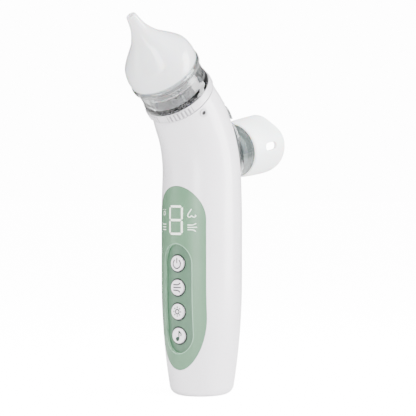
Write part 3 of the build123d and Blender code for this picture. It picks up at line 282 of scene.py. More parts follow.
def paint_well_shade_and_highlight(material, colour, painted_highlight_colour):
    """Paints shade on the floor of the sunk oval round the buttons as a deeper tone, and a painted highlight
    on its edge.
    """
    tree = material.node_tree
    shading = next(node for node in tree.nodes if node.type == "BSDF_PRINCIPLED")
    tone = shading.inputs["Base Color"].links[0].from_socket
    place = add_node(tree, "ShaderNodeTexCoord")
    part = add_node(tree, "ShaderNodeSeparateXYZ", {0: place.outputs["Object"]})
    below = add_node(tree, "ShaderNodeMath", {0: WELL_LOW * MM, 1: part.outputs["Z"]}, operation="SUBTRACT")
    above = add_node(tree, "ShaderNodeMath", {0: part.outputs["Z"], 1: WELL_HIGH * MM}, operation="SUBTRACT")
    past = add_node(tree, "ShaderNodeMath", {0: below.outputs[0], 1: above.outputs[0]}, operation="MAXIMUM")
    end = add_node(tree, "ShaderNodeMath", {0: past.outputs[0], 1: 0.0}, operation="MAXIMUM")
    tall = add_node(tree, "ShaderNodeMath", {0: end.outputs[0], 1: WELL_RISE * MM}, operation="DIVIDE")
    wide = add_node(
        tree, "ShaderNodeMath", {0: part.outputs["X"], 1: WELL_HALF_WIDTH * MM}, operation="DIVIDE"
    )
    spot = add_node(tree, "ShaderNodeCombineXYZ", {"X": wide.outputs[0], "Y": tall.outputs[0]})
    far = add_node(tree, "ShaderNodeVectorMath", {0: spot.outputs[0]}, operation="LENGTH")
    # Painted shade: the floor inside the oval takes the deeper tone.
    inside = add_node(
        tree, "ShaderNodeMapRange",
        {"Value": far.outputs["Value"], "From Min": 0.955, "From Max": 0.985, "To Min": 1.0, "To Max": 0.0},
    )
    both = add_node(
        tree, "ShaderNodeMix", {0: inside.outputs[0], 6: tone, 7: linear(colour)}, data_type="RGBA"
    )
    # Painted highlight: the wall and a thin line round the oval are lighter.
    edge = add_node(
        tree, "ShaderNodeMapRange",
        {"Value": far.outputs["Value"], "From Min": 0.985, "From Max": 1.0, "To Min": 0.0, "To Max": 1.0},
    )
    beyond = add_node(
        tree, "ShaderNodeMapRange",
        {"Value": far.outputs["Value"], "From Min": 1.015, "From Max": 1.05, "To Min": 1.0, "To Max": 0.0},
    )
    rim = add_node(tree, "ShaderNodeMath", {0: edge.outputs[0], 1: beyond.outputs[0]}, operation="MULTIPLY")
    toned = add_node(
        tree, "ShaderNodeMix",
        {0: rim.outputs[0], 6: both.outputs[2], 7: linear(painted_highlight_colour)}, data_type="RGBA",
    )
    tree.links.new(toned.outputs[2], shading.inputs["Base Color"])


def finish_node(name, material):
    """Gives a CAD node its material in every slot."""
    piece = NODES[name]
    for place in piece.material_slots:
        place.link = "OBJECT"
        place.material = material


def new_piece(name, mesh, material, body):
    """Links a mesh as a piece that rides on a body, in one material unless it brings its own."""
    if material:
        mesh.materials.clear()
        mesh.materials.append(material)
    piece = bpy.data.objects.new(name, mesh)
    bpy.context.scene.collection.objects.link(piece)
    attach(piece, body)
    return piece


def along(centre, axis):
    """Matrix that takes local z to axis and the origin to centre."""
    side = Vector((1, 0, 0))
    up = axis.cross(side)
    turn = Matrix((side, up, axis)).transposed().to_4x4()
    return Matrix.Translation(centre) @ turn


def smooth_line(points, steps=6):
    """Catmull-Rom line through the points."""
    line = []
    last = len(points) - 1
    for index in range(last):
        before = points[max(index - 1, 0)]
        a = points[index]
        b = points[index + 1]
        after = points[min(index + 2, last)]
        for step in range(steps):
            t = step / steps
            line.append(tuple(
                0.5 * (2 * a[k] + (b[k] - before[k]) * t
                       + (2 * before[k] - 5 * a[k] + 4 * b[k] - after[k]) * t * t
                       + (3 * a[k] - before[k] - 3 * b[k] + after[k]) * t ** 3)
                for k in range(2)
            ))
    line.append(points[last])
    return line


def turned_mesh(name, profile, place, steps=128):
    """Closed ring of a (radius, height) profile in mm, turned about local z and moved by place."""
    mesh = bpy.data.meshes.new(name)
    shape = bmesh.new()
    rings = []
    for step in range(steps):
        angle = 2 * math.pi * step / steps
        rings.append([
            shape.verts.new((radius * MM * math.cos(angle), radius * MM * math.sin(angle), height * MM))
            for radius, height in profile
        ])
    count = len(profile)
    for step in range(steps):
        ring = rings[step]
        after = rings[(step + 1) % steps]
        for index in range(count):
            follow = (index + 1) % count
            face = shape.faces.new((ring[index], after[index], after[follow], ring[follow]))
            face.smooth = True
    bmesh.ops.recalc_face_normals(shape, faces=shape.faces)
    shape.to_mesh(mesh)
    shape.free()
    mesh.transform(place)
    return mesh


# ------------------------------------------------------------------ printed icons
def ribbon(shape, path, width, target, proud):
    """Adds a thin raised line along an (x, z) path in mm, laid on the target from the front."""
    points = [Vector((path[0][0] * MM, path[0][1] * MM))]
    for x, z in path[1:]:
        goal = Vector((x * MM, z * MM))
        start = points[-1]
        cuts = max(1, math.ceil((goal - start).length / (STROKE_STEP * MM)))
        points += [start.lerp(goal, step / cuts) for step in range(1, cuts + 1)]
    pairs = []
    for index, point in enumerate(points):
        before = points[max(index - 1, 0)]
        after = points[min(index + 1, len(points) - 1)]
        direction = (after - before).normalized()
        side = Vector((-direction.y, direction.x)) * width / 2
        pairs.append((point + side, point - side))
    rows = []
    for pair in pairs:
        row = []
        for spot in pair:
            hit = target.ray_cast(Vector((spot.x, -0.2, spot.y)), Vector((0, 1, 0)))[0]
            row.append(hit)
        rows.append(row)
    fronts = [[shape.verts.new(hit + Vector((0, -proud, 0))) for hit in row] for row in rows]
    backs = [[shape.verts.new(hit + Vector((0, proud, 0))) for hit in row] for row in rows]
    for index in range(len(rows) - 1):
        a, b = fronts[index]
        c, d = fronts[index + 1]
        e, f = backs[index]
        g, h = backs[index + 1]
        for corners in ((a, b, d, c), (e, g, h, f), (a, c, g, e), (b, f, h, d)):
            shape.faces.new(corners)
    for end, flip in ((0, False), (-1, True)):
        corners = [fronts[end][0], backs[end][0], backs[end][1], fronts[end][1]]
        shape.faces.new(corners[::-1] if flip else corners)


def disc_on(shape, centre, radius, target, proud, steps=20):
    """Adds a filled thin disc at (x, z) in mm."""
    rims = []
    for lift in (-proud, proud):
        rim = []
        for step in range(steps):
            angle = 2 * math.pi * step / steps
            x = (centre[0] + radius * math.cos(angle)) * MM
            z = (centre[1] + radius * math.sin(angle)) * MM
            hit = target.ray_cast(Vector((x, -0.2, z)), Vector((0, 1, 0)))[0]
            rim.append(shape.verts.new(hit + Vector((0, lift, 0))))
        rims.append(rim)
    shape.faces.new(rims[0])
    shape.faces.new(rims[1][::-1])
    for step in range(steps):
        after = (step + 1) % steps
        shape.faces.new((rims[0][after], rims[0][step], rims[1][step], rims[1][after]))


def target_of(name):
    """Search tree over a CAD node's triangles."""
    mesh = NODES[name].data
    return BVHTree.FromPolygons([v.co for v in mesh.vertices], [tuple(p.vertices) for p in mesh.polygons])


def arc(centre, radius, start, stop, steps=24):
    """(x, z) points of an arc, angles in degrees."""
    angles = [math.radians(start + (stop - start) * step / steps) for step in range(steps + 1)]
    return [(centre[0] + radius * math.cos(a), centre[1] + radius * math.sin(a)) for a in angles]


def icon_mesh(name, paths, width, target, discs=(), proud=0.04):
    """One mesh of several strokes and discs laid on a target."""
    shape = bmesh.new()
    for path in paths:
        ribbon(shape, path, width, target, proud * MM)
    for centre, radius in discs:
        disc_on(shape, centre, radius, target, proud * MM)
    bmesh.ops.recalc_face_normals(shape, faces=shape.faces)
    mesh = bpy.data.meshes.new(name)
    shape.to_mesh(mesh)
    shape.free()
    return mesh


def suction_lines(x, z, size):
    """Three lines that fan out, as for an air stream."""
    top = smooth_line([(-1, 0.62), (0.1, 0.6), (0.62, 0.78), (0.95, 1.05)])
    middle = [(-1, 0.0), (0.0, 0.02), (1.15, 0.05)]
    low = smooth_line([(-1, -0.6), (0.1, -0.6), (0.62, -0.78), (0.9, -1.05)])
    return [[(x + px * size, z + pz * size) for px, pz in line] for line in (top, middle, low)]


# ------------------------------------------------------------------ operators
class ASPIRATOR_OT_shell(bpy.types.Operator):
    """Finish the moulded grip and neck."""

    bl_idname = "aspirator.shell"
    bl_label = "Shell"

    def execute(self, context):
        settings = context.scene.aspirator_shell
        # Injection moulded ABS from a polished tool: even satin gloss with a faint flow unevenness.
        shell = surface(
            "moulded ABS white", (settings.colour, settings.shade), 0.6, 0.05, settings.roughness,
            patch_mm=30, Coat_Weight=0.25, Coat_Roughness=0.12, IOR=1.54,
        )
        for name in ("housing", "rear_cover", "cup_socket"):
            finish_node(name, shell)
        # The bush is the same plastic, a shade greyer at the edge of its hole.
        bush = surface("moulded ABS grey", ("#C9C6CB", "#BDBABF"), 0.5, 0.05, 0.35, IOR=1.54)
        finish_node("vent_bush", bush)
        # Dark disc across the bush's bore: painted shade in the hole.
        hole_shade = surface("dark disc of painted shade", ("#2B2A2C", "#222123"), 0.2, 0.3, 0.7)
        towards_front = Vector((0, -HEAD_AXIS.z, HEAD_AXIS.y))
        outwards = Vector((1, 0, 0)) * math.cos(VENT_TURN) + towards_front * math.sin(VENT_TURN)
        low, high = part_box("vent_bush")
        spot = (Vector(low) + Vector(high)) / 2 + outwards * VENT_SHADE_OUT * MM
        middle, rim, top = 0.05, VENT_SHADE_RADIUS, VENT_SHADE_THICKNESS
        profile = [(middle, 0.0), (rim, 0.0), (rim, top), (middle, top)]
        disc = turned_mesh("vent_hole_shade", profile, Matrix(), 32)
        disc.transform(Matrix.Translation(spot) @ outwards.to_track_quat("Z", "Y").to_matrix().to_4x4())
        new_piece("vent_hole_shade", disc, hole_shade, "body")
        return {"FINISHED"}


class ASPIRATOR_OT_panel(bpy.types.Operator):
    """Finish the control panel, light the digit and print the icons beside it."""

    bl_idname = "aspirator.panel"
    bl_label = "Panel"

    def execute(self, context):
        settings = context.scene.aspirator_panel
        # ABS moulded against a finely blasted tool: soft matt with a grain that just breaks the highlight.
        panel = surface(
            "blasted ABS sage", (settings.colour, settings.shade), 0.3, 0.12, 0.42, patch_mm=22, IOR=1.54,
            Coat_Weight=0.08, Coat_Roughness=0.3,
        )
        # Painted shade in the well and a painted highlight round it.
        paint_well_shade_and_highlight(panel, settings.well, settings.edge)
        finish_node("control_panel", panel)
        # Milky polycarbonate lit from behind.
        guide = surface(
            "milky polycarbonate lit", (settings.lit, "#E2E9DD"), 1.0, 0.02, 0.35,
            Emission_Color=linear(settings.lit), Emission_Strength=0.35,
        )
        finish_node("display_light_guide", guide)
        # Screen printed ink, slightly raised and matt. Its small glow is painted light that keeps it bright.
        ink = surface(
            "printed ink pale with painted glow", (settings.printed, "#D3DED1"), 0.4, 0.1, 0.5,
            Emission_Color=linear(settings.printed), Emission_Strength=0.15,
        )
        target = target_of("control_panel")
        nose = smooth_line([
            (8.7, 96.3), (7.9, 95.0), (7.15, 93.7), (7.0, 92.7), (7.7, 92.15), (8.45, 92.5), (8.75, 93.0),
            (9.2, 92.45), (10.0, 92.2), (10.7, 92.7), (10.35, 93.35),
        ])
        mist = [arc((-9.0, 94.0), 1.0, 90 + turn, 250 + turn, 12) for turn in (0, 180)]
        for dx, dz in ((-0.9, 0.3), (0.0, 0.5), (0.9, 0.3)):
            mist.append([(-9.0 + dx, 95.4 + dz), (-9.0 + 1.5 * dx, 95.4 + 1.5 * dz)])
        lines = [[(-10.8, z), (-7.2, z)] for z in (85.6, 87.0, 88.4)]
        paths = [nose] + suction_lines(8.9, 87.0, 2.0) + mist + lines
        mesh = icon_mesh("panel_icons", paths, settings.stroke, target)
        new_piece("panel_icons", mesh, ink, "body")
        return {"FINISHED"}


class ASPIRATOR_OT_buttons(bpy.types.Operator):
    """Finish the button caps and print their marks."""

    bl_idname = "aspirator.buttons"
    bl_label = "Buttons"

    def front_of_flange(self, name):
        """Y of the flange's front face: the most forward vertex outside the cap's own radius."""
        low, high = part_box(name)
        middle = (low[2] + high[2]) / 2
        spots = [vertex.co for vertex in NODES[name].data.vertices]
        return min(spot.y for spot in spots if Vector((spot.x, spot.z - middle)).length > CAP_EDGE * MM)

    def shade_ring_mesh(self, name, height, around):
        """Dark ring of painted shade in the gap round a button, from the flange up, with a lip on the well's
        floor.
        """
        foot = self.front_of_flange(name)
        shape = bmesh.new()
        rings = []
        for step in range(SHADE_RING_STEPS):
            turn = 2 * math.pi * step / SHADE_RING_STEPS
            cosine, sine = math.cos(turn), math.sin(turn)
            from_front = Vector((SHADE_RING_SEAT * MM * cosine, -0.2, (height + SHADE_RING_SEAT * sine) * MM))
            floor = around.ray_cast(from_front, Vector((0, 1, 0)))[0].y
            lip = floor - SHADE_RING_ROUND * MM
            top = floor - 2 * SHADE_RING_ROUND * MM
            corners = (
                (SHADE_RING_BORE, foot), (SHADE_RING_SLEEVE, foot), (SHADE_RING_SLEEVE, floor),
                (SHADE_RING_LIP, floor + SHADE_RING_SUNK * MM), (SHADE_RING_LIP, lip), (SHADE_RING_TOP_OUTER, top),
                (SHADE_RING_TOP_INNER, top), (SHADE_RING_BORE, lip),
            )
            rings.append([
                shape.verts.new((radius * MM * cosine, y, (height + radius * sine) * MM))
                for radius, y in corners
            ])
        for step in range(SHADE_RING_STEPS):
            ring = rings[step]
            after = rings[(step + 1) % SHADE_RING_STEPS]
            for index in range(len(ring)):
                follow = (index + 1) % len(ring)
                shape.faces.new((ring[index], after[index], after[follow], ring[follow])).smooth = True
        bmesh.ops.recalc_face_normals(shape, faces=shape.faces)
        mesh = bpy.data.meshes.new(f"{name}_gasket")
        shape.to_mesh(mesh)
        shape.free()
        return mesh

    def execute(self, context):
        settings = context.scene.aspirator_buttons
        # Moulded ABS caps, satin, with rounded edges.
        cap = surface(
            "moulded ABS cap", (settings.colour, "#DBD6DB"), 0.5, 0.06, 0.36,
            Coat_Weight=0.15, Coat_Roughness=0.2, IOR=1.54,
        )
        grey = surface("pad printed ink grey", (settings.mark, "#342E36"), 0.3, 0.1, 0.55)
        # Near-black ring in the gap round each button: painted shade in the gap.
        shade_ring = surface("near black ring of painted shade", ("#101C16", "#0C1812"), 0.4, 0.1, 0.6)
        green = surface("pad printed ink green", (settings.note_mark, "#0C2A1B"), 0.3, 0.1, 0.55)
        around = target_of("control_panel")
        for name in ("button_power", "button_suction", "button_light", "button_music"):
            finish_node(name, cap)
            low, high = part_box(name)
            z = (low[2] + high[2]) / 2 / MM
            target = target_of(name)
            body = name.replace("button_", "") + "_key"
            discs = ()
            ink = grey
            if name == "button_power":
                stem = [(0, z + 0.1), (0, z + 1.4), (0, z + 2.8)]
                paths = [arc((0, z - 0.2), 2.35, 125, 415, 40), stem]
            elif name == "button_suction":
                paths = suction_lines(0, z, 2.35)
            elif name == "button_light":
                paths = [arc((0, z), 1.15, 0, 360, 32)]
                for step in range(8):
                    turn = math.radians(45 * step)
                    paths.append([(r * math.cos(turn), z + r * math.sin(turn)) for r in (1.85, 2.6)])
            else:
                paths = [
                    [(0.45, z - 1.6), (0.45, z + 0.4), (0.45, z + 2.5)],
                    smooth_line([(0.45, z + 2.5), (1.0, z + 1.7), (1.85, z + 1.1), (1.7, z - 0.1)]),
                ]
                discs = (((-0.45, z - 1.7), 1.15),)
                ink = green
            ring = self.shade_ring_mesh(name, z, around)
            new_piece(f"{name}_gasket", ring, shade_ring, "body")
            mesh = icon_mesh(f"{name}_mark", paths, settings.stroke, target, discs, 0.03)
            new_piece(f"{name}_mark", mesh, ink, body)
        return {"FINISHED"}


def rib_tree(rib, groove):
    """Node tree of half-round ribs on darker strips of painted shade, in groups each side of a circle's front
    and back.
    """
    tree = bpy.data.node_groups.new("collar ribs", "GeometryNodeTree")
    for name, kind, default in (
        ("Places", "NodeSocketInt", 56), ("From", "NodeSocketFloat", 0.2), ("To", "NodeSocketFloat", 0.9),
        ("Radius", "NodeSocketFloat", 0.018), ("Width", "NodeSocketFloat", 0.0011),
        ("Height", "NodeSocketFloat", 0.0036), ("Depth", "NodeSocketFloat", 0.0004),
    ):
        socket = tree.interface.new_socket(name, in_out="INPUT", socket_type=kind)
        socket.default_value = default
    tree.interface.new_socket("Geometry", in_out="OUTPUT", socket_type="NodeSocketGeometry")
    given = add_node(tree, "NodeGroupInput")
    circle = add_node(
        tree, "GeometryNodeMeshCircle",
        {"Vertices": given.outputs["Places"], "Radius": given.outputs["Radius"]},
    )
    position = add_node(tree, "GeometryNodeInputPosition")
    spot = add_node(tree, "ShaderNodeSeparateXYZ", {0: position.outputs[0]})
    across = add_node(
        tree, "ShaderNodeMath", {0: spot.outputs["X"], 1: given.outputs["Radius"]}, operation="DIVIDE"
    )
    side = add_node(tree, "ShaderNodeMath", {0: across.outputs[0]}, operation="ABSOLUTE")
    away = add_node(tree, "ShaderNodeMath", {0: side.outputs[0]}, operation="ARCSINE")
    past = add_node(
        tree, "ShaderNodeMath", {0: away.outputs[0], 1: given.outputs["From"]}, operation="GREATER_THAN"
    )
    short = add_node(
        tree, "ShaderNodeMath", {0: away.outputs[0], 1: given.outputs["To"]}, operation="LESS_THAN"
    )
    filled = add_node(tree, "ShaderNodeMath", {0: past.outputs[0], 1: short.outputs[0]}, operation="MULTIPLY")
    index = add_node(tree, "GeometryNodeInputIndex")
    share = add_node(
        tree, "ShaderNodeMath", {0: index.outputs[0], 1: given.outputs["Places"]}, operation="DIVIDE"
    )
    angle = add_node(tree, "ShaderNodeMath", {0: share.outputs[0], 1: 2 * math.pi}, operation="MULTIPLY")
    turn = add_node(tree, "ShaderNodeCombineXYZ", {"Z": angle.outputs[0]})
    joined = add_node(tree, "GeometryNodeJoinGeometry")
    # The second, wider and lower strips carry the painted shade between the ribs.
    for material, wide, deep in ((rib, 0.5, 1.0), (groove, 1.0, 0.25)):
        bar = add_node(
            tree, "GeometryNodeMeshCylinder",
            {"Vertices": 16, "Radius": 1.0, "Depth": given.outputs["Height"]},
        )
        half = add_node(tree, "ShaderNodeMath", {0: given.outputs["Width"], 1: wide}, operation="MULTIPLY")
        depth = add_node(tree, "ShaderNodeMath", {0: given.outputs["Depth"], 1: deep}, operation="MULTIPLY")
        size = add_node(tree, "ShaderNodeCombineXYZ", {"X": depth.outputs[0], "Y": half.outputs[0], "Z": 1.0})
        placed = add_node(
            tree, "GeometryNodeInstanceOnPoints",
            {"Points": circle.outputs["Mesh"], "Selection": filled.outputs[0],
             "Instance": bar.outputs["Mesh"], "Rotation": turn.outputs[0], "Scale": size.outputs[0]},
        )
        real = add_node(tree, "GeometryNodeRealizeInstances", {"Geometry": placed.outputs["Instances"]})
        coated = add_node(
            tree, "GeometryNodeSetMaterial", {"Geometry": real.outputs["Geometry"], "Material": material}
        )
        tree.links.new(coated.outputs["Geometry"], joined.inputs[0])
    add_node(tree, "NodeGroupOutput", {0: joined.outputs[0]})
    return tree


class ASPIRATOR_OT_collar(bpy.types.Operator):
    """Finish the turning collar and set its grip ribs."""

    bl_idname = "aspirator.collar"
    bl_label = "Collar"

    def execute(self, context):
        settings = context.scene.aspirator_head
        # Same ABS as the shell, glossier where fingers turn it.
        collar = surface(
            "moulded ABS collar", ("#D2CFD4", "#C9C6CB"), 0.5, 0.05, 0.28,
            Coat_Weight=0.3, Coat_Roughness=0.1, IOR=1.54,
        )
        finish_node("cup_collar", collar)
        # Thermoplastic elastomer, matt grey.
        finish_node("cup_seal", surface("elastomer seal", ("#5B5A5E", "#646367"), 0.4, 0.1, 0.5))
        finish_node("socket_seal", bpy.data.materials["elastomer seal"])
        # The ribs are moulded into the collar. The darker strips between them are painted shade.
        groove = surface("painted shade strips", ("#8C898E", "#827F84"), 0.5, 0.05, 0.4, IOR=1.54)
        tree = rib_tree(collar, groove)
        mesh = bpy.data.meshes.new("collar_ribs_seed")
        maker = bpy.data.objects.new("collar_ribs_maker", mesh)
        context.scene.collection.objects.link(maker)
        modifier = maker.modifiers.new("ribs", "NODES")
        modifier.node_group = tree
        values = {
            "Places": settings.rib_count, "From": settings.rib_from, "To": settings.rib_to,
            "Radius": COLLAR_RADIUS * MM, "Width": settings.rib_width, "Height": settings.rib_height,
            "Depth": settings.rib_proud,
        }
        for item in tree.interface.items_tree:
            if item.in_out == "INPUT":
                modifier[item.identifier] = values[item.name]
        evaluated = maker.evaluated_get(context.evaluated_depsgraph_get())
        ribs = bpy.data.meshes.new_from_object(evaluated)
        ribs.name = "collar_ribs"
        maker.modifiers.remove(modifier)
        bpy.data.objects.remove(maker)
        middle = (COLLAR_LOW * MM + COLLAR_HIGH * MM) / 2
        ribs.transform(along(HEAD_CENTRE + HEAD_AXIS * middle, HEAD_AXIS))
        new_piece("collar_ribs", ribs, None, "collar")
        return {"FINISHED"}


def rings_mesh(name, rings, thick):
    """Thin closed rings at (radius, height) in mm, each of round section."""
    shape = bmesh.new()
    for radius, height in rings:
        section = [(radius + thick * math.cos(a), height + thick * math.sin(a)) for a in
                   [2 * math.pi * step / 8 for step in range(8)]]
        part = turned_mesh(name + "_part", section, Matrix(), TURNED_STEPS)
        shape.from_mesh(part)
        bpy.data.meshes.remove(part)
    mesh = bpy.data.meshes.new(name)
    shape.to_mesh(mesh)
    shape.free()
    return mesh


def clear_plastic(name, tint, roughness=0.04, transmission=1.0, bend=1.3):
    """Clear polycarbonate: smooth, bright, with dark edges where it bends the light."""
    return surface(
        name, (tint, tint), 2.0, 0.01, roughness, spread=0.02, Transmission_Weight=transmission, IOR=bend,
        Specular_IOR_Level=0.9, Coat_Weight=0.5, Coat_Roughness=0.03, Coat_IOR=1.58,
    )


class ASPIRATOR_OT_cup(bpy.types.Operator):
    """Finish the clear collection cup, its insert and the clear rim."""

    bl_idname = "aspirator.cup"
    bl_label = "Cup"

    def execute(self, context):
        settings = context.scene.aspirator_head
        clear = clear_plastic("clear polycarbonate cup", settings.clear)
        finish_node("collection_cup", clear)
        finish_node("nozzle_ring", clear)
        insert = surface(
            "smoked polycarbonate insert", ("#8F9293", "#7E8182"), 1.0, 0.02, 0.22, Transmission_Weight=0.3
        )
        finish_node("cup_insert", insert)
        # Raised lines that the mould's rings leave round the rim, with the sheen of worn plastic.
        frosted = surface(
            "frosted polycarbonate lines", ("#B9BBBC", "#A6A8A9"), 0.5, 0.05, 0.3,
            Transmission_Weight=0.5, IOR=1.3,
        )
        lines = rings_mesh("rim_lines", RIM_LINES, RIM_LINE_THICK)
        lines.transform(along(HEAD_CENTRE, HEAD_AXIS))
        new_piece("rim_lines", lines, frosted, "nozzle_head")
        return {"FINISHED"}


class ASPIRATOR_OT_nozzle(bpy.types.Operator):
    """Model the soft silicone nozzle."""

    bl_idname = "aspirator.nozzle"
    bl_label = "Nozzle"

    def execute(self, context):
        settings = context.scene.aspirator_head
        # Liquid silicone rubber: milky, soft gloss, light spreads inside it. The small glow stands in for
        # the studio light that passes through it.
        silicone = surface(
            "silicone nozzle", (settings.silicone, "#EAE7EA"), 0.8, 0.01, 0.2, spread=0.03,
            Transmission_Weight=0.3, IOR=1.41, Coat_Weight=0.7, Coat_Roughness=0.06,
            Subsurface_Weight=0.4, Subsurface_Scale=0.006, Emission_Color=linear(settings.silicone),
            Emission_Strength=0.22,
        )
        outer = smooth_line([
            (18.45, 20.9), (18.55, 22.2), (18.5, 24.4), (18.0, 27.2), (17.07, 29.75), (15.13, 32.4),
            (12.9, 35.05), (10.42, 37.8), (8.2, 40.4), (6.49, 43.2), (5.1, 45.9), (4.1, 48.4),
            (3.35, 51.6), (2.8, 54.6),
        ])
        tip = [(2.72, 55.2), (2.6, 55.7), (2.32, 56.02), (2.05, 56.1), (1.75, 56.02), (1.6, 55.7)]
        bore = [(1.6, 52.0), (1.6, 48.0), (1.6, 44.2), (1.9, 43.4)]
        inner = smooth_line([
            (4.9, 42.5), (6.6, 40.3), (9.0, 37.0), (11.5, 34.1), (13.63, 31.6), (15.5, 28.9), (16.6, 26.2),
            (17.0, 22.6),
        ])
        foot = [
            (14.6, 21.4), (14.48, 20.3), (15.2, 20.22), (15.2, 18.0), (16.4, 18.0), (16.4, 20.22),
            (18.3, 20.22),
        ]
        fold = [(18.42, 20.35)]
        profile = outer + tip + bore + inner + foot + fold
        mesh = turned_mesh("silicone_nozzle", profile, along(HEAD_CENTRE, HEAD_AXIS), TURNED_STEPS)
        piece = new_piece("silicone_nozzle", mesh, silicone, "nozzle_head")
        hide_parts("nozzle")
        return {"FINISHED"}


class ASPIRATOR_OT_nebuliser(bpy.types.Operator):
    """Finish the tank, its lid, the outlet plate and the clear connector."""

    bl_idname = "aspirator.nebuliser"
    bl_label = "Nebuliser"

    def execute(self, context):
        settings = context.scene.aspirator_nebuliser
        clear = clear_plastic("clear polycarbonate tank", settings.tank, 0.06, 0.9, 1.45)
        finish_node("medicine_cup", clear)
        finish_node("medicine_lid", clear)
        # The ring's dark grey tint is painted shade for the dark the clear connector shows where it bends the
        # light. The outlet plate shares it.
        ring = clear_plastic("clear polycarbonate ring", settings.ring, 0.06, 0.7, 1.45)
        finish_node("mask_connector", ring)
        finish_node("outlet_plate", ring)
        edge = surface(
            "smoked polycarbonate lines", ("#5D6463", "#525958"), 0.5, 0.05, 0.25,
            Transmission_Weight=0.3, IOR=1.4,
        )
        lines = rings_mesh("connector_lines", CONNECTOR_LINES, CONNECTOR_LINE_THICK)
        lines.transform(along(NEB_CENTRE, NEB_AXIS))
        new_piece("connector_lines", lines, edge, "connector")
        steel = surface("ground steel", ("#A8A8AA", "#9A9A9D"), 0.3, 0.1, 0.3, Metallic=1.0)
        finish_node("lid_pin", steel)
        finish_node("atomizer_disc", steel)
        finish_node("atomizer_seal", bpy.data.materials["elastomer seal"])
        gold = surface("plated brass", ("#C8A45A", "#BD9A50"), 0.3, 0.05, 0.22, Metallic=1.0)
        finish_node("contact_pins", gold)
        return {"FINISHED"}


class ASPIRATOR_OT_mask(bpy.types.Operator):
    """Model the soft silicone mask with its rolled rim and side vents."""

    bl_idname = "aspirator.mask"
    bl_label = "Mask"

    def execute(self, context):
        settings = context.scene.aspirator_nebuliser
        # White silicone, satin. The small glow again stands in for light that passes through it.
        silicone = surface(
            "silicone mask", (settings.mask, "#F6F5F7"), 0.8, 0.02, 0.36, spread=0.04,
            Subsurface_Weight=0.4, Subsurface_Scale=0.005, IOR=1.41, Coat_Weight=0.2, Coat_Roughness=0.15,
            Emission_Color=linear(settings.mask), Emission_Strength=0.28,
        )
        outer = smooth_line([
            (13.2, 8.62), (14.2, 8.85), (14.85, 9.7), (15.25, 12.0), (15.7, 17.0), (16.1, 23.0), (16.3, 28.4),
            (16.22, 31.6),
        ])
        groove = [(16.0, 32.0), (15.62, 32.3), (15.55, 32.55), (15.75, 32.75)]
        rim = smooth_line([
            (15.85, 32.95), (15.7, 33.8), (15.2, 34.7), (14.2, 35.35), (13.2, 35.2), (12.7, 34.6),
        ])
        inner = smooth_line([
            (13.3, 33.4), (14.3, 32.0), (14.6, 29.0), (14.35, 23.0), (13.9, 17.0), (13.45, 12.8),
            (12.4, 10.9),
        ])
        bore = [(11.33, 10.75), (11.33, 8.7)]
        profile = outer + groove + rim + inner + bore
        place = along(NEB_CENTRE, NEB_AXIS)
        mesh = turned_mesh("silicone_mask", profile, Matrix(), TURNED_STEPS)
        for vertex in mesh.vertices:
            # Towards the rim the sides pull in beside the nose bridge, so the opening is pear shaped.
            reach = min(1.0, max(0.0, (vertex.co.z / MM - PULL_START) / PULL_LENGTH))
            angle = math.degrees(math.atan2(-vertex.co.y, abs(vertex.co.x)))
            pull = math.exp(-((angle - PULL_ANGLE) / PULL_SPREAD) ** 2)
            scale = 1.0 - PULL_SHARE * pull * reach * reach * (3 - 2 * reach)
            vertex.co.x *= scale
            vertex.co.y *= scale
        mesh.transform(place)
        piece = new_piece("silicone_mask", mesh, silicone, "mask_body")
        slot_shape = bmesh.new()
        for side in (-1, 1):
            front = []
            for middle, start in ((MASK_VENT_HALF_SPAN, -90), (-MASK_VENT_HALF_SPAN, 90)):
                for step in range(17):
                    turn = math.radians(start + 180 * step / 16)
                    up = (middle + MASK_VENT_RADIUS * math.cos(turn)) * MM
                    front.append((up, MASK_VENT_RADIUS * math.sin(turn) * MM))
            spots = [(v, MASK_VENT_AT * MM + u) for u, v in front]
            near = [slot_shape.verts.new((side * VENT_CUT_FROM * MM, y, z)) for y, z in spots]
            far = [slot_shape.verts.new((side * VENT_CUT_TO * MM, y, z)) for y, z in spots]
            slot_shape.faces.new(near)
            slot_shape.faces.new(far[::-1])
            for index in range(len(front)):
                after = (index + 1) % len(front)
                slot_shape.faces.new((near[after], near[index], far[index], far[after]))
        bmesh.ops.remove_doubles(slot_shape, verts=slot_shape.verts, dist=1e-6)
        bmesh.ops.recalc_face_normals(slot_shape, faces=slot_shape.faces)
        cutter_mesh = bpy.data.meshes.new("vent_cutter")
        slot_shape.to_mesh(cutter_mesh)
        slot_shape.free()
        cutter_mesh.transform(place)
        cutter = bpy.data.objects.new("vent_cutter", cutter_mesh)
        context.scene.collection.objects.link(cutter)
        cut = piece.modifiers.new("vents", "BOOLEAN")
        cut.operation = "DIFFERENCE"
        cut.object = cutter
        context.view_layer.update()
        evaluated = piece.evaluated_get(context.evaluated_depsgraph_get())
        result = bpy.data.meshes.new_from_object(evaluated)
        piece.modifiers.remove(cut)
        result.name = "silicone_mask_cut"
        piece.data = result
        bpy.data.objects.remove(cutter)
        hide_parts("mask")
        return {"FINISHED"}


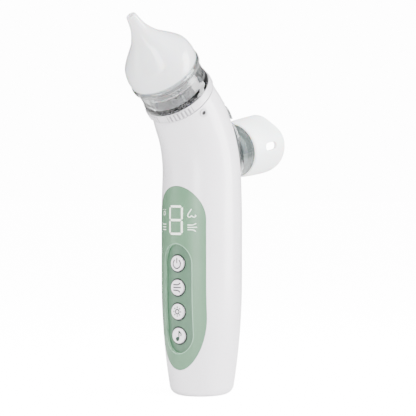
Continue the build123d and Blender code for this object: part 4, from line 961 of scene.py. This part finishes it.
class ASPIRATOR_OT_inner(bpy.types.Operator):
    """Finish the pieces inside the grip."""

    bl_idname = "aspirator.inner"
    bl_label = "Inner pieces"

    def execute(self, context):
        # Solder mask over glass fibre: deep green, semi gloss.
        board = surface("solder mask green", ("#1F5A36", "#184A2C"), 0.5, 0.15, 0.35)
        # Moulded epoxy packages and black component plastic.
        black = surface("moulded epoxy black", ("#18181A", "#222224"), 0.3, 0.15, 0.5)
        # Drawn and plated steel, with fine draw lines lost at this size.
        steel = surface("drawn steel", ("#A3A4A6", "#949597"), 0.4, 0.1, 0.32, Metallic=1.0)
        # Heat shrunk film over the cell.
        film = surface("shrink film blue", ("#2A4C7C", "#24436E"), 1.0, 0.08, 0.25)
        # Glass filled nylon, dry and slightly rough.
        nylon = surface("glass filled nylon", ("#2A2A2D", "#343437"), 0.4, 0.2, 0.55)
        natural = surface("moulded ABS natural", ("#B9B8B4", "#AFAEAA"), 0.5, 0.1, 0.45)
        rubber = surface("damper rubber", ("#1B1B1C", "#262627"), 0.5, 0.2, 0.65)
        mat = surface("silicone keypad", ("#9C9EA0", "#929496"), 0.6, 0.1, 0.5)
        tube = surface("soft clear tube", ("#D8DCDC", "#CDD2D2"), 1.0, 0.05, 0.3, Transmission_Weight=0.4)
        finishes = {
            board: ("main_board", "charge_board"),
            black: ("display_module", "tact_switches", "board_chips", "speaker"),
            steel: ("board_screws", "usb_socket", "pump_motor"),
            film: ("battery_cell",),
            nylon: ("pump_eccentric", "pump_housing", "pump_rocker", "pump_valve_plate", "pump_cover"),
            natural: ("inner_chassis",),
            rubber: ("motor_damper", "pump_diaphragm"),
            mat: ("keypad_mat",),
            tube: ("suction_hose",),
        }
        for material, names in finishes.items():
            for name in names:
                finish_node(name, material)
        return {"FINISHED"}


class ASPIRATOR_OT_stage(bpy.types.Operator):
    """Set the floor, the soft lights and the camera."""

    bl_idname = "aspirator.stage"
    bl_label = "Stage"

    def execute(self, context):
        settings = context.scene.aspirator_stage
        sweep = bpy.data.meshes.new("floor")
        shape = bmesh.new()
        bmesh.ops.create_circle(shape, cap_ends=True, segments=96, radius=8.0)
        shape.to_mesh(sweep)
        shape.free()
        # White paper. Only the camera sees the glow that loses its far edge in the backdrop.
        paper = bpy.data.materials.new("white paper")
        paper.use_nodes = True
        tree = paper.node_tree
        tree.nodes.clear()
        ray = add_node(tree, "ShaderNodeLightPath")
        matt = add_node(tree, "ShaderNodeBsdfDiffuse", {"Color": linear(settings.floor)})
        glow = add_node(tree, "ShaderNodeEmission", {"Strength": settings.backdrop})
        none = add_node(tree, "ShaderNodeEmission", {"Strength": 0.0})
        seen = add_node(
            tree, "ShaderNodeMixShader",
            {0: ray.outputs["Is Camera Ray"], 1: none.outputs[0], 2: glow.outputs[0]},
        )
        both = add_node(tree, "ShaderNodeAddShader", {0: matt.outputs[0], 1: seen.outputs[0]})
        add_node(tree, "ShaderNodeOutputMaterial", {"Surface": both.outputs[0]})
        sweep.materials.append(paper)
        floor = bpy.data.objects.new("floor", sweep)
        floor.location.z = -0.0002
        context.scene.collection.objects.link(floor)
        world = bpy.data.worlds.new("studio")
        world.use_nodes = True
        tree = world.node_tree
        tree.nodes.clear()
        ray = add_node(tree, "ShaderNodeLightPath")
        strength = add_node(
            tree, "ShaderNodeMapRange",
            {"Value": ray.outputs["Is Camera Ray"], "To Min": settings.world, "To Max": settings.backdrop},
        )
        sky = add_node(
            tree, "ShaderNodeBackground", {"Color": linear("#FFFFFF"), "Strength": strength.outputs[0]}
        )
        add_node(tree, "ShaderNodeOutputWorld", {"Surface": sky.outputs[0]})
        context.scene.world = world
        right = Vector((math.cos(settings.azimuth), math.sin(settings.azimuth), 0))
        back = Vector((math.sin(settings.azimuth), -math.cos(settings.azimuth), 0))
        aim = Vector((0, 0, 0.1))
        for name, spot, wide, tall, power in (
            ("key", back * 0.5 - right * 0.08 + Vector((0, 0, 0.1)), 0.14, 0.7, settings.key * 0.7),
            ("left", back * 0.1 - right * 0.6 + Vector((0, 0, 0.15)), 0.3, 0.6, settings.key * 0.3),
            ("top", back * 0.2 + right * 0.05 + Vector((0, 0, 0.6)), 0.3, 0.3, settings.key * 1.1),
            ("right", back * 0.05 + right * 0.6 + Vector((0, 0, 0.1)), 0.3, 0.7, settings.key * 1.75),
        ):
            light = bpy.data.lights.new(name, "AREA")
            light.shape = "RECTANGLE"
            light.size = wide
            light.size_y = tall
            light.energy = power
            lamp = bpy.data.objects.new(name, light)
            lamp.location = aim + spot
            lamp.rotation_euler = (-spot).to_track_quat("-Z", "Y").to_euler()
            context.scene.collection.objects.link(lamp)
        view = bpy.data.cameras.new("camera")
        view.lens = settings.lens
        view.sensor_width = 36.0
        view.shift_x = CAMERA_SHIFT_ACROSS
        view.shift_y = CAMERA_SHIFT_UP
        camera = bpy.data.objects.new("camera", view)
        camera.location = back * settings.distance + Vector((0, 0, settings.height))
        camera.rotation_euler = (math.radians(90), 0, settings.azimuth)
        context.scene.collection.objects.link(camera)
        context.scene.camera = camera
        return {"FINISHED"}


class ASPIRATOR_PT_panel(bpy.types.Panel):
    """Lists the aspirator's settings and operators."""

    bl_idname = "ASPIRATOR_PT_panel"
    bl_label = "Aspirator"
    bl_space_type = "VIEW_3D"
    bl_region_type = "UI"
    bl_category = "Aspirator"

    def draw(self, context):
        for group in ("shell", "panel", "buttons", "head", "nebuliser", "stage"):
            settings = getattr(context.scene, f"aspirator_{group}")
            column = self.layout.column(align=True)
            column.label(text=group.capitalize())
            for name in settings.__annotations__:
                column.prop(settings, name)
        for operator in OPERATORS:
            self.layout.operator(operator.bl_idname)


GROUPS = {
    "aspirator_shell": ShellSettings,
    "aspirator_panel": PanelSettings,
    "aspirator_buttons": ButtonSettings,
    "aspirator_head": HeadSettings,
    "aspirator_nebuliser": NebuliserSettings,
    "aspirator_stage": StageSettings,
}
OPERATORS = (
    ASPIRATOR_OT_shell, ASPIRATOR_OT_panel, ASPIRATOR_OT_buttons, ASPIRATOR_OT_collar, ASPIRATOR_OT_cup,
    ASPIRATOR_OT_nozzle, ASPIRATOR_OT_nebuliser, ASPIRATOR_OT_mask, ASPIRATOR_OT_inner, ASPIRATOR_OT_stage,
)


def register():
    for kind in (*GROUPS.values(), *OPERATORS, ASPIRATOR_PT_panel):
        bpy.utils.register_class(kind)
    for name, kind in GROUPS.items():
        setattr(bpy.types.Scene, name, PointerProperty(type=kind))


def unregister():
    for name in GROUPS:
        delattr(bpy.types.Scene, name)
    for kind in (ASPIRATOR_PT_panel, *reversed(OPERATORS), *GROUPS.values()):
        bpy.utils.unregister_class(kind)


def main():
    register()
    for operator in OPERATORS:
        group, name = operator.bl_idname.split(".")
        getattr(getattr(bpy.ops, group), name)()


if __name__ == "__main__":
    main()
